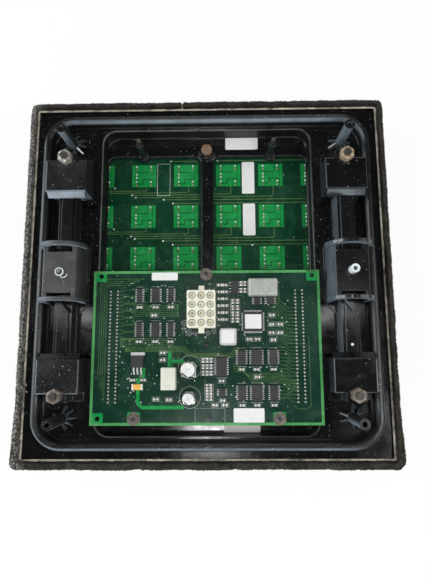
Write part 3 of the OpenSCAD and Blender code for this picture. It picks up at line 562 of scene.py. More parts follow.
# %% Finishes on the CAD nodes
own_finish = {
    "guide_studs": "dark_steel", "board_studs": "dark_steel", "driver_board": "driver_green",
    "memory_ic": "socket_grey", "left_cover": "worn_sheen_latch", "left_upper_guide": "dusty_sheen_latch",
    "left_lower_guide": "dusty_sheen_latch", "right_upper_guide": "sheltered_latch",
    "right_lower_guide": "sheltered_latch",
}
for subpart in frame["record"]["subparts"]:
    mesh = nodes[subpart["node"]].data
    mesh.materials.clear()
    mesh.materials.append(finishes[own_finish.get(subpart["node"], subpart["material_slot"])])

# %% [markdown]
# ## Floor
# The photo shows the module cut out on white. A pale floor carries it, and to the camera, to glossy and to
# transmission rays the floor is mostly plain white, while a part of the floor's own shading stays, so the
# shadow does too. The world is plain white to the camera.

# %% Floor
floor_z, floor_half, white_share = cad_low.z - 0.2 * MM, 2.0, 0.9
floor_bm = bmesh.new()
bmesh.ops.create_grid(floor_bm, x_segments=8, y_segments=8, size=floor_half)
bmesh.ops.translate(floor_bm, vec=(0, 0, floor_z), verts=floor_bm.verts)
floor_mesh = bpy.data.meshes.new("floor")
floor_bm.to_mesh(floor_mesh)
floor_bm.free()
floor = bpy.data.objects.new("floor", floor_mesh)
scene.collection.objects.link(floor)
floor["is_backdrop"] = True
floor_paper = bpy.data.materials.new("floor_paper")
floor_paper.use_nodes = True
paper = Shading(floor_paper.node_tree)
matte = paper.tree.nodes["Principled BSDF"]
mottle = paper.noise(paper.put("TexCoord").outputs["Object"], 30.0)
paper.feed(paper.blend(mottle, (0.86, 0.86, 0.86), (0.9, 0.9, 0.9)), matte.inputs["Base Color"])
paper.feed(0.9, matte.inputs["Roughness"])
rays = paper.put("LightPath").outputs
seen = paper.most(rays["Is Camera Ray"], rays["Is Glossy Ray"])
seen = paper.most(seen, rays["Is Transmission Ray"])
white = paper.put("Emission", {"Color": (1, 1, 1, 1), "Strength": 1.0})
mixed = paper.put("MixShader", {0: paper.times(seen, white_share), 1: matte.outputs[0], 2: white.outputs[0]})
paper.feed(mixed.outputs[0], paper.tree.nodes["Material Output"].inputs["Surface"])
floor_mesh.materials.append(floor_paper)
print("floor at z", round(floor_z, 4))

# %% [markdown]
# ## World and lights
# The light is soft and comes from the left and from below in the picture, as through windows, so the latch
# on the left shines and the lip has a blue-white line. Cards fill the other sides. Small lamps overhead
# give the glare on the labels and on the boards, and two narrow ones the streaks at the driver board's
# sides. Area lights do this with soft edges, where points of light would leave hard spots.

# %% World and lights
world = bpy.data.worlds.new("studio")
scene.world = world
world.use_nodes = True
sky = Shading(world.node_tree)
height = sky.split(sky.put("TexCoord").outputs["Generated"])["Z"]
dome = sky.blend(sky.ramp(height, 0.0, 0.55), (0.42, 0.43, 0.45), (0.05, 0.052, 0.056))
backdrop = sky.blend(sky.put("LightPath").outputs["Is Camera Ray"], dome, (1.0, 1.0, 1.0))
sky.feed(backdrop, sky.tree.nodes["Background"].inputs["Color"])


def soft_light(name, place, target, width, length, power, colour):
    data = bpy.data.lights.new(name, "AREA")
    data.shape = "RECTANGLE"
    data.size = width
    data.size_y = length
    data.energy = power
    data.color = colour
    lamp = bpy.data.objects.new(name, data)
    aim = (Vector(target) - Vector(place)).to_track_quat("-Z", "Y")
    lamp.matrix_world = Matrix.Translation(place) @ aim.to_matrix().to_4x4()
    scene.collection.objects.link(lamp)


plain, warm, cool, blue = (1.0, 1.0, 1.0), (1.0, 0.99, 0.97), (0.95, 0.98, 1.0), (0.82, 0.93, 1.0)
lights = {
    "key_window": ((-1.05, 0.18, 1.0), (-0.05, 0, 0.03), 0.85, 0.5, 7.0, plain),
    "front_card": ((0.15, -1.0, 0.85), (0, 0, 0.03), 1.1, 0.5, 1.2, warm),
    "right_card": ((0.98, 0.05, 0.72), (0, 0, 0.03), 0.45, 0.9, 3.0, warm),
    "rear_card": ((0.1, 1.1, 0.72), (0, 0, 0.03), 0.9, 0.4, 3.4, cool),
    "sky_pane": ((-0.2, -1.2, 0.5), (-0.05, 0.0, 0.045), 1.5, 0.55, 10.0, blue),
    "left_pane": ((-1.3, 0.0, 0.4), (-0.1, 0.0, 0.04), 1.5, 0.6, 12.5, blue),
    "label_card": ((0.74, -0.31, 0.97), (0.03, -0.11, 0.02), 0.4, 0.4, 5.0, plain),
    "ceiling_lamp": ((-0.03, -0.285, 1.0), (0.0, -0.11, 0.02), 0.12, 0.05, 0.7, plain),
    "overhead_lamp": ((-0.02, 0.07, 1.0), (0.0, 0.0, 0.03), 0.12, 0.12, 0.3, plain),
    "left_slit": ((-0.39, 0.045, 1.0), (-0.0975, -0.03, 0.03), 0.04, 0.2, 0.11, plain),
    "right_slit": ((0.315, 0.045, 1.0), (0.07875, -0.03, 0.03), 0.04, 0.2, 0.11, plain),
}
for name, values in lights.items():
    soft_light(name, *values)
print(len(lights), "soft lights and the dome")

# %% [markdown]
# ## Helpers for new pieces
# A piece is modelled in a bmesh, made a mesh at the origin with its place in its vertices, given a finish
# and tied to the CAD body that it rides on. Shapes that come many times are modelled once and stamped, and
# the CAD nodes are read for where each of their solids stands, so nothing has to be measured twice.


# %% Piece helpers
def as_mesh(bm, name):
    mesh = bpy.data.meshes.new(name)
    bm.to_mesh(mesh)
    bm.free()
    return mesh


def piece(mesh, name, finish, body="module", smooth=False):
    """Makes a mesh, or a bmesh, a piece of the model that rides on a CAD body."""
    if isinstance(mesh, bmesh.types.BMesh):
        mesh = as_mesh(mesh, name)
    mesh.materials.clear()
    mesh.materials.append(finishes[finish])
    for face in mesh.polygons:
        face.use_smooth = smooth
    made = bpy.data.objects.new(name, mesh)
    scene.collection.objects.link(made)
    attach(made, body)
    print(name, len(mesh.polygons), "faces")
    return made


def linked(verts, kind):
    """Edges or faces at these vertices, each once and always in the same order."""
    return list(dict.fromkeys(item for vert in verts for item in getattr(vert, kind)))


def only(geom, kind):
    return [item for item in geom if isinstance(item, kind)]


def stamp(bm, template, places):
    for place in places:
        start = len(bm.verts)
        bm.from_mesh(template)
        bm.verts.ensure_lookup_table()
        bmesh.ops.transform(bm, matrix=place, verts=bm.verts[start:])


def at(x, y, z, turn=0.0):
    return Matrix.Translation(Vector((x, y, z)) * MM) @ Matrix.Rotation(math.radians(turn), 4, "Z")


def box_mm(node):
    return [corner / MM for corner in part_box(node)]


def middle(low, high):
    return (low.x + high.x) / 2, (low.y + high.y) / 2


weld = 1e-6
board_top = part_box("driver_board")[1].z / MM
lamp_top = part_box("led_board")[1].z / MM
print("driver board top", round(board_top, 2), "lamp board top", round(lamp_top, 2))

# %% [markdown]
# ## Shapes that come back
# A pulled face, a plate, a turned ring and a flat line are the shapes that most of the small pieces are
# made of. A line could be a row of thin plates, but a curve with a round section, made a mesh and pressed
# flat, also has neat corners.


# %% Shape helpers
def extrude(bm, faces, by, keep=False):
    """Pulls faces by a vector in mm, and gives back the new vertices and the new faces."""
    grown = bmesh.ops.extrude_face_region(bm, geom=faces, use_keep_orig=keep)["geom"]
    verts = only(grown, BMVert)
    bmesh.ops.translate(bm, vec=[part * MM for part in by], verts=verts)
    return verts, only(grown, BMFace)


def spin_round(bm, points, steps, closed=True):
    """Spins a section of (radius, height) points in mm once round the Z axis."""
    verts = [bm.verts.new(Vector((radius, 0, z)) * MM) for radius, z in points]
    pairs = list(zip(verts, verts[1:]))
    if closed:
        pairs.append((verts[-1], verts[0]))
    edges = [bm.edges.new(pair) for pair in pairs]
    bmesh.ops.spin(bm, geom=verts + edges, cent=(0, 0, 0), axis=(0, 0, 1), angle=2 * math.pi, steps=steps,
                   use_merge=True)


def plate(bm, x0, y0, x1, y1, z0, z1, corner=0.0):
    """A thin plate between two corners, sizes in mm, with rounded corners."""
    place = at((x0 + x1) / 2, (y0 + y1) / 2, (z0 + z1) / 2)
    size = Matrix.Diagonal(Vector((x1 - x0, y1 - y0, z1 - z0, 1 / MM)) * MM)
    made = bmesh.ops.create_cube(bm, size=1.0, matrix=place @ size)["verts"]
    if corner:
        tall = 0.9 * (z1 - z0) * MM
        upright = [e for e in linked(made, "link_edges") if abs(e.verts[0].co.z - e.verts[1].co.z) > tall]
        bmesh.ops.bevel(bm, geom=upright, offset=corner * MM, affect="EDGES", segments=3, profile=0.5,
                        material=-1)


def solids(node):
    """Lowest and highest corner, in mm, of every separate solid of a CAD node."""
    bm = bmesh.new()
    bm.from_mesh(nodes[node].data)
    bmesh.ops.remove_doubles(bm, verts=bm.verts, dist=weld)
    left, boxes = set(bm.verts), []
    while left:
        front = [left.pop()]
        low, high = front[0].co.copy(), front[0].co.copy()
        while front:
            vert = front.pop()
            low, high = Vector(map(min, low, vert.co)), Vector(map(max, high, vert.co))
            for edge in vert.link_edges:
                other = edge.other_vert(vert)
                if other in left:
                    left.discard(other)
                    front.append(other)
        boxes.append((low / MM, high / MM))
    bm.free()
    return sorted(boxes, key=lambda b: (round(b[0].x, 2), round(b[0].y, 2)))


def lines(name, paths, width, z, finish, thickness=0.05):
    """Flat raised lines along paths of points in mm."""
    curve = bpy.data.curves.new(name, "CURVE")
    curve.dimensions = "3D"
    curve.bevel_depth = width / 2 * MM
    curve.bevel_resolution = 1
    curve.use_fill_caps = True
    for path in paths:
        spline = curve.splines.new("POLY")
        spline.points.add(len(path) - 1)
        for point, (x, y) in zip(spline.points, path):
            point.co = (x * MM, y * MM, 0, 1)
    holder = bpy.data.objects.new(name + "_curve", curve)
    mesh = bpy.data.meshes.new_from_object(holder)
    bpy.data.objects.remove(holder)
    mesh.transform(Matrix.Translation((0, 0, z * MM)) @ Matrix.Diagonal((1, 1, 2 * thickness / width, 1)))
    piece(mesh, name, finish, smooth=True)


def outline(x0, y0, x1, y1):
    return [(x0, y0), (x1, y0), (x1, y1), (x0, y1), (x0, y0)]


def arc(x, y, radius, start, end, steps):
    turns = [math.radians(start + (end - start) * k / steps) for k in range(steps + 1)]
    return [(x + radius * math.cos(a), y + radius * math.sin(a)) for a in turns]


print("shape helpers ready")

# %% [markdown]
# ## Foam gasket
# A strip of open-cell foam runs round the back. It is cut from sheet, so its edges are square, but age has
# made them ragged, and on three sides the outer edge is worn round and low. It has a butt joint at the top,
# and a second joint low on the left side, where the ends bulge inwards. A cloth simulation would round the
# whole strip and lose the fuzz, so each side is a finely divided strip that noise in code pushes about.

# %% Foam strip
foam_low, foam_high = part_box("gasket_foam")
foam_out = foam_high.x / MM
foam_in = foam_out - 4.2
foam_rise = foam_high.z - foam_low.z
cell, cells_across, layers = 0.7, 6, 5
top_joint, half_gap = -18.5, 1.0


def foam_strip(bm, start_x, end_x, turn_by):
    """A straight stretch of foam at the top side, turned to the side where it belongs."""
    first = len(bm.verts)
    size = Matrix.Diagonal(((end_x - start_x) * MM, (foam_out - foam_in) * MM, 1, 1))
    spot = at((start_x + end_x) / 2, (foam_in + foam_out) / 2, foam_high.z / MM)
    steps = max(8, round((end_x - start_x) / cell))
    sheet = bmesh.ops.create_grid(bm, x_segments=steps, y_segments=cells_across, size=0.5, matrix=spot @ size)
    faces = linked(sheet["verts"], "link_faces")
    for layer in range(layers):
        faces = extrude(bm, faces, (0, 0, -foam_rise / layers / MM), keep=layer == 0)[1]
    bm.verts.ensure_lookup_table()
    turned = Matrix.Rotation(math.radians(turn_by), 3, "Z")
    bmesh.ops.rotate(bm, cent=(0, 0, 0), matrix=turned, verts=bm.verts[first:])


foam_bm = bmesh.new()
strips = ((-foam_out, top_joint - half_gap, 0), (top_joint + half_gap, foam_out, 0), (-foam_in, foam_in, 90),
          (-foam_out, foam_out, 180), (-foam_in, foam_in, 270))
for start_x, end_x, turn_by in strips:
    foam_strip(foam_bm, start_x, end_x, turn_by)
bmesh.ops.recalc_face_normals(foam_bm, faces=foam_bm.faces)
print("foam strips:", len(foam_bm.faces), "faces")

# %% [markdown]
# ## Wear of the foam
# Three small functions move each vertex in turn: the first rounds the ring's corners, the second wears the
# outer edge down and bulges the left joint, and the third gives the ragged skin with a slow noise for the
# wavering edge and a quick one for the fuzz. Last, some of the faces are poked out into little tufts.

# %% Wear of the foam
corner_r = 6.0
left_joint, joint_half, bulge = -80.2, 2.0, 2.8
worn_in, worn_over, worn_low, worn_low_outside = 1.9, 40.0, 0.6, 0.7
waver, waver_over, fuzz, fuzz_over = 0.40, 9.0, 0.34, 0.8
tuft, tuft_over, tuft_limit = 0.7, 0.5, 0.12


def round_corner(spot):
    core = (foam_out - corner_r) * MM
    over = Vector((abs(spot.x) - core, abs(spot.y) - core))
    if over.x > 0 and over.y > 0:
        pulled = over * (max(over) / over.length)
        spot.x = math.copysign(core + pulled.x, spot.x)
        spot.y = math.copysign(core + pulled.y, spot.y)


def wear_down(spot):
    level = (spot.z - foam_low.z) / foam_rise
    wear = min(1.0, max(0.0, (spot.y / MM + foam_in) / worn_over))
    far = max(abs(spot.x), abs(spot.y)) / MM
    across = max(0.0, (far - foam_in) / (foam_out - foam_in))
    pinch = max(0.0, 1 - abs(spot.y / MM - left_joint) / joint_half)
    if spot.x < -foam_in * MM:
        spot.x += bulge * (1 - across) * pinch * MM
    inward = 1 - worn_in * wear * across * level ** 2 / far
    spot.x *= inward
    spot.y *= inward
    spot.z -= (worn_low + worn_low_outside * across) * wear * level * MM


def ruffle(spot):
    lift = max(0.0, min(1.0, (spot.z - foam_low.z) / (2 * MM)))
    ragged = 1.6 if spot.y < -foam_in * MM else 1.0
    slow = noise.noise_vector(spot / (waver_over * MM)) * waver * MM
    quick = noise.noise_vector(spot / (fuzz_over * MM)) * fuzz * MM
    push = (slow + quick) * (0.35 + 0.65 * lift) * ragged
    push.z = push.z * 0.8 * lift
    spot += push


for vert in foam_bm.verts:
    round_corner(vert.co)
    wear_down(vert.co)
    ruffle(vert.co)
foam_bm.normal_update()
sides = [face for face in foam_bm.faces if abs(face.normal.z) < 0.7]
fuzzy = [face for face in sides if noise.noise(face.calc_center_median() / (tuft_over * MM)) > tuft_limit]
bmesh.ops.poke(foam_bm, faces=fuzzy, offset=tuft * MM)
foam_ring = piece(foam_bm, "foam_ring", "foam_dark", smooth=True)
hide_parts("gasket_foam")

# %% [markdown]
# ## Scraps of tape
# Where the foam's ends part at the left joint, torn scraps of the tape stick out inside the ring. Each is a
# face with four corners, pulled up to the tape's thickness.

# %% Tape scraps
tape_low, tape_high = box_mm("gasket_tape")
scraps = (((-129.5, -76.4), (-129.5, -79.0), (-128.2, -79.7), (-128.5, -77.9)),
          ((-129.5, -81.6), (-129.5, -83.6), (-128.1, -84.3), (-127.1, -83.6)))
scraps_bm = bmesh.new()
for corners in scraps:
    scrap = scraps_bm.faces.new([scraps_bm.verts.new(Vector((x, y, tape_low.z)) * MM) for x, y in corners])
    extrude(scraps_bm, [scrap], (0, 0, tape_high.z - tape_low.z), keep=True)
bmesh.ops.recalc_face_normals(scraps_bm, faces=scraps_bm.faces)
piece(scraps_bm, "tape_scraps", "tape_tan")

# %% [markdown]
# ## Pixel pads on the lamp board
# Every pixel has its lamps' leads soldered into copper islands about 19 mm square, with dark lines between
# the islands. The mask over copper looks bright green, so each island is a thin raised plate. One pixel is
# modelled and stamped 64 times at the 34 mm pitch. A texture could paint this, but real relief holds up
# close to.

# %% Pixel pads
pixel_pitch, copper_t = 34.0, 0.06
columns = [(k - 3.5) * pixel_pitch for k in range(8)]
islands = [(-9.8, -9.3, -7.45, 9.3), (-7.3, -9.3, -5.2, 9.3), (-5.0, 3.2, 3.0, 9.3), (3.3, 2.6, 7.0, 9.3),
           (-5.0, -2.6, 7.0, 2.6), (-5.0, -6.3, -1.3, -2.6), (-0.6, -9.3, 7.0, -3.2),
           (-5.0, -9.3, -0.6, -6.95), (7.25, -9.3, 9.8, 9.3)]
island_bm = bmesh.new()
for x0, y0, x1, y1 in islands:
    plate(island_bm, x0, y0, x1, y1, 0, copper_t)
island_mesh = as_mesh(island_bm, "pixel_islands")
pads_bm = bmesh.new()
stamp(pads_bm, island_mesh, [at(x, y, lamp_top) for x in columns for y in columns])
piece(pads_bm, "pixel_pads", "copper_green")

# %% [markdown]
# ## Solder points
# Ten lamp leads come up through each pixel, and each ends in a small cone of solder with the lead's tip in
# it. A squashed half sphere with its top pulled up gives that with few faces. The header pins on the driver
# board get a plumper one of the same kind, at the places of the CAD's plain tips.


# %% Solder points
def solder_point(name, radius, rise, tip):
    bm = bmesh.new()
    bmesh.ops.create_uvsphere(bm, u_segments=10, v_segments=6, radius=radius * MM)
    under = [v for v in bm.verts if v.co.z < -0.01 * MM]
    bmesh.ops.delete(bm, geom=under, context="VERTS")
    bmesh.ops.scale(bm, vec=(1, 1, rise / radius), verts=bm.verts)
    peak = max(bm.verts, key=lambda v: v.co.z)
    bmesh.ops.translate(bm, vec=(0, 0, tip * MM), verts=[peak])
    return as_mesh(bm, name)


bright_leads = [(-6.0, 8.0), (-6.0, 1.35), (-6.0, -1.3), (-6.0, -4.9), (5.5, 8.0), (5.5, -4.9)]
fluxed_leads = [(-6.0, 5.4), (-6.0, -7.8), (5.5, 5.4), (5.5, -7.7)]
lead_dot = solder_point("lamp_solder", 0.9, 0.75, 0.5)
for leads, name, finish in ((bright_leads, "lamp_solder_bright", "solder"),
                            (fluxed_leads, "lamp_solder_fluxed", "flux_solder")):
    dots_bm = bmesh.new()
    stamp(dots_bm, lead_dot,
          [at(x + u, y + v, lamp_top + copper_t / 2) for x in columns for y in columns for u, v in leads])
    piece(dots_bm, name, finish, smooth=True)
tip_dot = solder_point("header_solder", 0.75, 0.7, 0.45)
tips_bm = bmesh.new()
stamp(tips_bm, tip_dot, [at(*middle(a, b), board_top) for a, b in solids("solder_tips")])
header_solder = piece(tips_bm, "header_solder_points", "dull_solder", smooth=True)
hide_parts("solder_tips")

# %% [markdown]
# ## Traces on the lamp board
# Thin copper lines carry rows and columns between the pixels, with a tinned via where one changes sides.
# The same few paths repeat from row to row, so one row is written down and the loop moves it by the pixel
# pitch.

# %% Lamp board traces
paths, via_places = [], []
for row in range(6):
    shift = -row * pixel_pitch
    for x, drop in ((-48.9, 72.6), (-15.0, 70.9), (19.0, 69.4), (53.0, 67.3)):
        left, y = -80.0 if x < 0 else 5.0, drop + shift
        paths.append([(x, 76.0 + shift), (x, drop + 0.7 + shift), (x - 0.7, y), (left, y)])
    for x, y in ((-60.7, 69.0), (-57.5, 67.0), (-35.0, 65.0), (-27.4, 61.9)):
        paths.append([(x, y + shift), (-4.0, y + shift)])
        via_places.append((x, y + shift))
    for y in (64.9, 61.9):
        paths.append([(5.0, y + shift), (80.0, y + shift)])
    via_places.append((-74.5, 74.9 + shift))
paths += [[(-29.5, 97.4), (-9.0, 97.4), (-7.5, 95.8)], [(8.3, 97.6), (79.0, 97.6)]]
via_places += [(-29.5, 97.4), (35.6, 27.3), (8.3, 97.6)]
lines("lamp_board_traces", paths, 0.75, lamp_top + 0.02, "trace_green")
via_bm = bmesh.new()
stamp(via_bm, solder_point("via", 0.75, 0.16, 0.0), [at(x, y, lamp_top) for x, y in via_places])
piece(via_bm, "lamp_board_vias", "solder", smooth=True)

# %% [markdown]
# ## Labels
# Paper labels sit on both boards and in the tray, and a printed frame on the lamp board marks a place for
# one more. They are left bare. A label is a thin plate with round corners, and the print is a narrow raised
# line.

# %% Labels
tray_floor, paper_t, on_pads = 20.2, 0.12, lamp_top + 0.08
labels = ((33.0, 82.8, 10.0, 26.7, on_pads), (33.3, 48.1, 9.8, 26.1, on_pads),
          (-30.3, -1.3, 19.0, 5.8, board_top), (29.7, -99.8, 21.5, 9.7, board_top),
          (27.8, 109.6, 26.0, 10.0, tray_floor), (25.5, -111.0, 26.6, 7.0, tray_floor))
label_bm = bmesh.new()
for x, y, w, l, z in labels:
    plate(label_bm, x - w / 2, y - l / 2, x + w / 2, y + l / 2, z, z + paper_t, 0.9)
piece(label_bm, "bare_labels", "label_paper")
label_frame = outline(-40.2, 68.5, -30.0, 95.2)
lines("lamp_board_print", [label_frame], 0.5, lamp_top + 0.04, "silk_white")

# %% [markdown]
# ## Copper on the driver board
# A bright copper line runs round the board's edge, with square earth pads at three corners and round the
# two lower nuts. A ring of vertices at the hole is extruded outwards and pulled square, which leaves the
# hole open.


# %% Driver board border and pads
def pad_with_hole(bm, x, y, half, hole, z0, z1):
    loop = bmesh.ops.create_circle(bm, segments=32, radius=hole * MM, matrix=at(0, 0, z0, 360 / 64))["verts"]
    grown = bmesh.ops.extrude_edge_only(bm, edges=linked(loop, "link_edges"))["geom"]
    outer = only(grown, BMVert)
    for vert in outer:
        far = half * MM / max(abs(vert.co.x), abs(vert.co.y))
        vert.co.x *= far
        vert.co.y *= far
    lifted = extrude(bm, only(grown, BMFace), (0, 0, z1 - z0))[0]
    bmesh.ops.translate(bm, vec=Vector((x, y, 0)) * MM, verts=loop + outer + lifted)


b_low, b_high = box_mm("driver_board")
edge_w, copper_top = 1.9, board_top + copper_t
border_bm = bmesh.new()
for y in (b_high.y - edge_w, b_low.y):
    plate(border_bm, b_low.x, y, b_high.x, y + edge_w, board_top, copper_top)
for x in (b_low.x, b_high.x - edge_w):
    plate(border_bm, x, b_low.y + edge_w, x + edge_w, b_high.y - edge_w, board_top, copper_top)
piece(border_bm, "board_edge_copper", "border_green")
pads_bm = bmesh.new()
for x, y in ((-76.5, -1.2), (76.5, -1.2), (-76.5, -102)):
    pad_with_hole(pads_bm, x, y, 3.9, 1.7, board_top, copper_top)
for x in (-51, 51):
    pad_with_hole(pads_bm, x, -102, 4.6, 2.4, board_top, copper_top)
bmesh.ops.recalc_face_normals(pads_bm, faces=pads_bm.faces)
piece(pads_bm, "earth_pads", "copper_green")

# %% [markdown]
# ## Traces on the driver board
# Fine lines run from the header pins to the chips, in groups that turn at 45 degrees together. Each path could
# be traced from a picture, but here they are laid out by rule from the pins' pitch, as a layout program would.

# %% Fine traces
pin_pitch, pins, header_y, header_x = 2.54, 32, -51.5, 64.3
fine_paths, via_places = [], []
for k in range(pins):
    y = header_y + pin_pitch * (k - (pins - 1) / 2)
    shift, fan = 0.9 * (1 if k % 2 else -1), 0.2 * (k % 5)
    if y > -50:
        fine_paths.append([(-header_x, y), (-60.5, y), (-60.5 + abs(shift), y + shift), (-51.6, y + shift)])
    if y < -54:
        fine_paths.append([(header_x, y), (60 - fan, y), (57.0, y + 3.0 - fan), (51.6, y + 3.0)])
    if -54 <= y < -24:
        fine_paths.append([(header_x, y), (58.5, y), (50.5, y + 8.0), (45.0, y + 8.0)])
for k in range(4):
    x, y, end = -72.4 - 1.5 * k, -7.6 + 1.5 * k, -56.0 + 3.4 * k
    fine_paths.append([(x, -90.0 + 5 * k), (x, y - 2.2), (x + 2.2, y), (end, y)])
    via_places.append((end, y))
for k in range(7):
    y, end = -20.5 - 1.3 * k, -20.5
    fine_paths.append([(-53.0, y), (-47.0 - k, y), (-45.0 - k, y - 2.0), (end, y - 2.0)])
    via_places.append((end, y - 2.0))
for k in range(5):
    y, start, bend = -46.5 - 1.4 * k, -61.0, -27.0 + 2 * k
    fine_paths.append([(start, y), (bend - 3.0, y), (bend, y - 3.0), (bend, y - 9.0)])
    via_places.append((start, y))
for k in range(6):
    y, x = -71.0 - 1.2 * k, 21.0 + k
    fine_paths.append([(19.0, y + 7), (x, y + 7), (x + 7, y), (53.0, y), (58.0, y - 5), (header_x, y - 5)])
for k in range(5):
    y, kink = -52.2 - 0.8 * k, 0.33 * k
    fine_paths.append([(-58.0, y), (-15.2 - kink, y), (-10.5 - kink, y - 4.7), (16.8 + kink, y - 4.7),
                       (22.0 + kink, y + 0.5)])
fine_paths.append([(61.5, -93.0), (64.0, -95.5), (70.5, -95.5), (73.0, -93.0), (73.0, -45.0)])
fine_paths.append([(52.9, -6.0), (52.6, -20.4), (48.3, -24.5)])
lines("driver_board_traces", fine_paths, 0.36, board_top + 0.02, "trace_green", 0.04)

# %% [markdown]
# ## Power traces and vias
# Four wide lines of copper join the capacitors and the regulator. Vias, the small plated holes that lead through
# the board, are scattered all over it. Their places follow no rule that shows, so they are drawn at random from a
# fixed seed, half of them under the mask and half tinned.

# %% Power traces and vias
power_paths = [[(-48.2, -74.0), (-48.2, -91.2), (-45.2, -94.2), (-16.0, -94.2)],
               [(-26.1, -55.5), (-26.1, -66.5)], [(-26.1, -62.4), (-16.0, -62.4)],
               [(-44.8, -67.0), (-44.8, -74.0)]]
lines("power_traces", power_paths, 2.9, board_top + 0.03, "copper_green", 0.06)
random.seed(seed)
scattered_vias, tinned_places = 240, []
for k in range(scattered_vias):
    spots = tinned_places if k % 2 else via_places
    spots.append((random.uniform(-62, 60), random.uniform(-92, -5)))
small_via = solder_point("small_via", 0.42, 0.1, 0.0)
for name, finish, slot, spots in (("driver_board_vias", "border_green", "board_green", via_places),
                                  ("tinned_vias", "solder", "solder", tinned_places)):
    via_bm = bmesh.new()
    stamp(via_bm, small_via, [at(x, y, board_top) for x, y in spots])
    piece(via_bm, name, finish, smooth=True)

# %% [markdown]
# ## Screen print on the driver board
# White lines mark the ends of the chips, the sides of the small parts and rings round the two cans. They
# follow the CAD solids, so they fit wherever a part stands. A blot of black ink covers a patch near the
# lower edge: a disc whose rim a noise pulls in and out.

# %% Driver board screen print
extra_parts = [(-35.5, -88.6), (-26.2, -89.0), (-31.0, -61.5), (-31.0, -56.5), (-37.6, -29.7), (36.0, -73.5),
               (47.0, -30.0), (46.8, -36.6), (46.7, -42.6), (52.8, -36.6), (52.6, -42.6), (30.6, -47.1),
               (36.5, -47.1), (47.8, -47.6), (10.8, -76.2), (6.0, -92.7), (13.0, -92.7), (11.3, -89.6)]
print_paths = [outline(-8.0, -104.8, 12.9, -95.0), arc(-11.6, -66.4, 8.2, 0, 360, 40),
               arc(-11.6, -87.5, 7.5, 0, 360, 40)]
for node in ("narrow_chips", "medium_chips", "wide_chips", "driver_ic"):
    for a, b in solids(node):
        print_paths += [[(a.x - 0.4, y), (b.x + 0.4, y)] for y in (a.y - 1.3, b.y + 1.3)]
for a, b in solids("chip_parts"):
    print_paths += [[(x, a.y - 0.5), (x, b.y + 0.5)] for x in (a.x - 0.8, b.x + 0.8)]
print_paths += [outline(x - 2.6, y - 1.5, x + 2.6, y + 1.5) for x, y in extra_parts]
lines("driver_board_print", print_paths, 0.28, board_top + 0.03, "silk_white", 0.03)
blot_r, blot_place = 2.6, Vector((2.4, -100.4, board_top + 0.07))
blot_bm = bmesh.new()
blot = bmesh.ops.create_circle(blot_bm, cap_ends=True, segments=40, radius=blot_r * MM)["verts"]
for vert in blot:
    vert.co *= 0.75 + 0.6 * noise.noise(vert.co / (blot_r / 2 * MM))
bmesh.ops.translate(blot_bm, vec=blot_place * MM, verts=blot)
piece(blot_bm, "ink_blot", "ink_black")

# %% [markdown]
# ## Chip leads
# Surface-mount chips stand on gull-wing leads: out of the body, down, and out again along the board. One
# lead is a small face extruded through those steps. It is stamped along the sides of every chip at the
# chip's lead pitch.


# %% Chip leads
def bent_lead(name, width, thick, high, steps):
    bm = bmesh.new()
    upright = at(0, 0, high) @ Matrix.Rotation(math.radians(90), 4, "Y")
    size = Matrix.Diagonal((thick * MM, width * MM, 1, 1))
    start = bmesh.ops.create_grid(bm, x_segments=1, y_segments=1, size=0.5, matrix=upright @ size)
    faces = linked(start["verts"], "link_faces")
    for dx, dz in steps:
        faces = extrude(bm, faces, (dx, 0, dz))[1]
    bmesh.ops.recalc_face_normals(bm, faces=bm.faces)
    return as_mesh(bm, name)


def lead_rows(a, b, count, pitch, four_sides=False):
    x, y = middle(a, b)
    places = []
    for k in range(count):
        off = (k - (count - 1) / 2) * pitch
        places += [at(b.x, y + off, board_top), at(a.x, y + off, board_top, 180)]
        if four_sides:
            places += [at(x + off, b.y, board_top, 90), at(x + off, a.y, board_top, -90)]
    return places


wing = bent_lead("gull_lead", 0.45, 0.2, 0.9, [(0.35, 0.0), (0.25, -0.35), (0.12, -0.4), (0.55, -0.05)])
fine_wing = bent_lead("fine_lead", 0.3, 0.16, 0.9, [(0.3, 0.0), (0.25, -0.4), (0.1, -0.35), (0.5, -0.05)])
j_lead = bent_lead("j_lead", 0.7, 0.22, 2.0, [(0.3, 0.0), (0.12, -0.3), (0.0, -1.2), (-0.25, -0.4)])
leads_bm = bmesh.new()
for node, lead, count, pitch, four_sides in (
        ("narrow_chips", wing, 8, 1.27, False), ("medium_chips", wing, 8, 1.27, False),
        ("wide_chips", wing, 8, 1.27, False), ("driver_ic", wing, 10, 1.2, False),
        ("control_ic", fine_wing, 20, 0.65, True), ("memory_ic", j_lead, 7, 1.27, True)):
    for a, b in solids(node):
        stamp(leads_bm, lead, lead_rows(a, b, count, pitch, four_sides))
for a, b in solids("small_ics"):
    stamp(leads_bm, wing, lead_rows(a, b, 4, (b.y - a.y) / 4.4))
piece(leads_bm, "chip_leads", "tinned_lead")

# %% [markdown]
# ## Ends of the small parts
# Resistors, capacitors and the orange tantalum have tinned ends that run up the part's short sides. Each
# end is a thin cap around the body's end, at the places of the CAD solids. A few more parts than the CAD
# has are added here, each a plain body of the common 3.2 by 1.6 mm size.

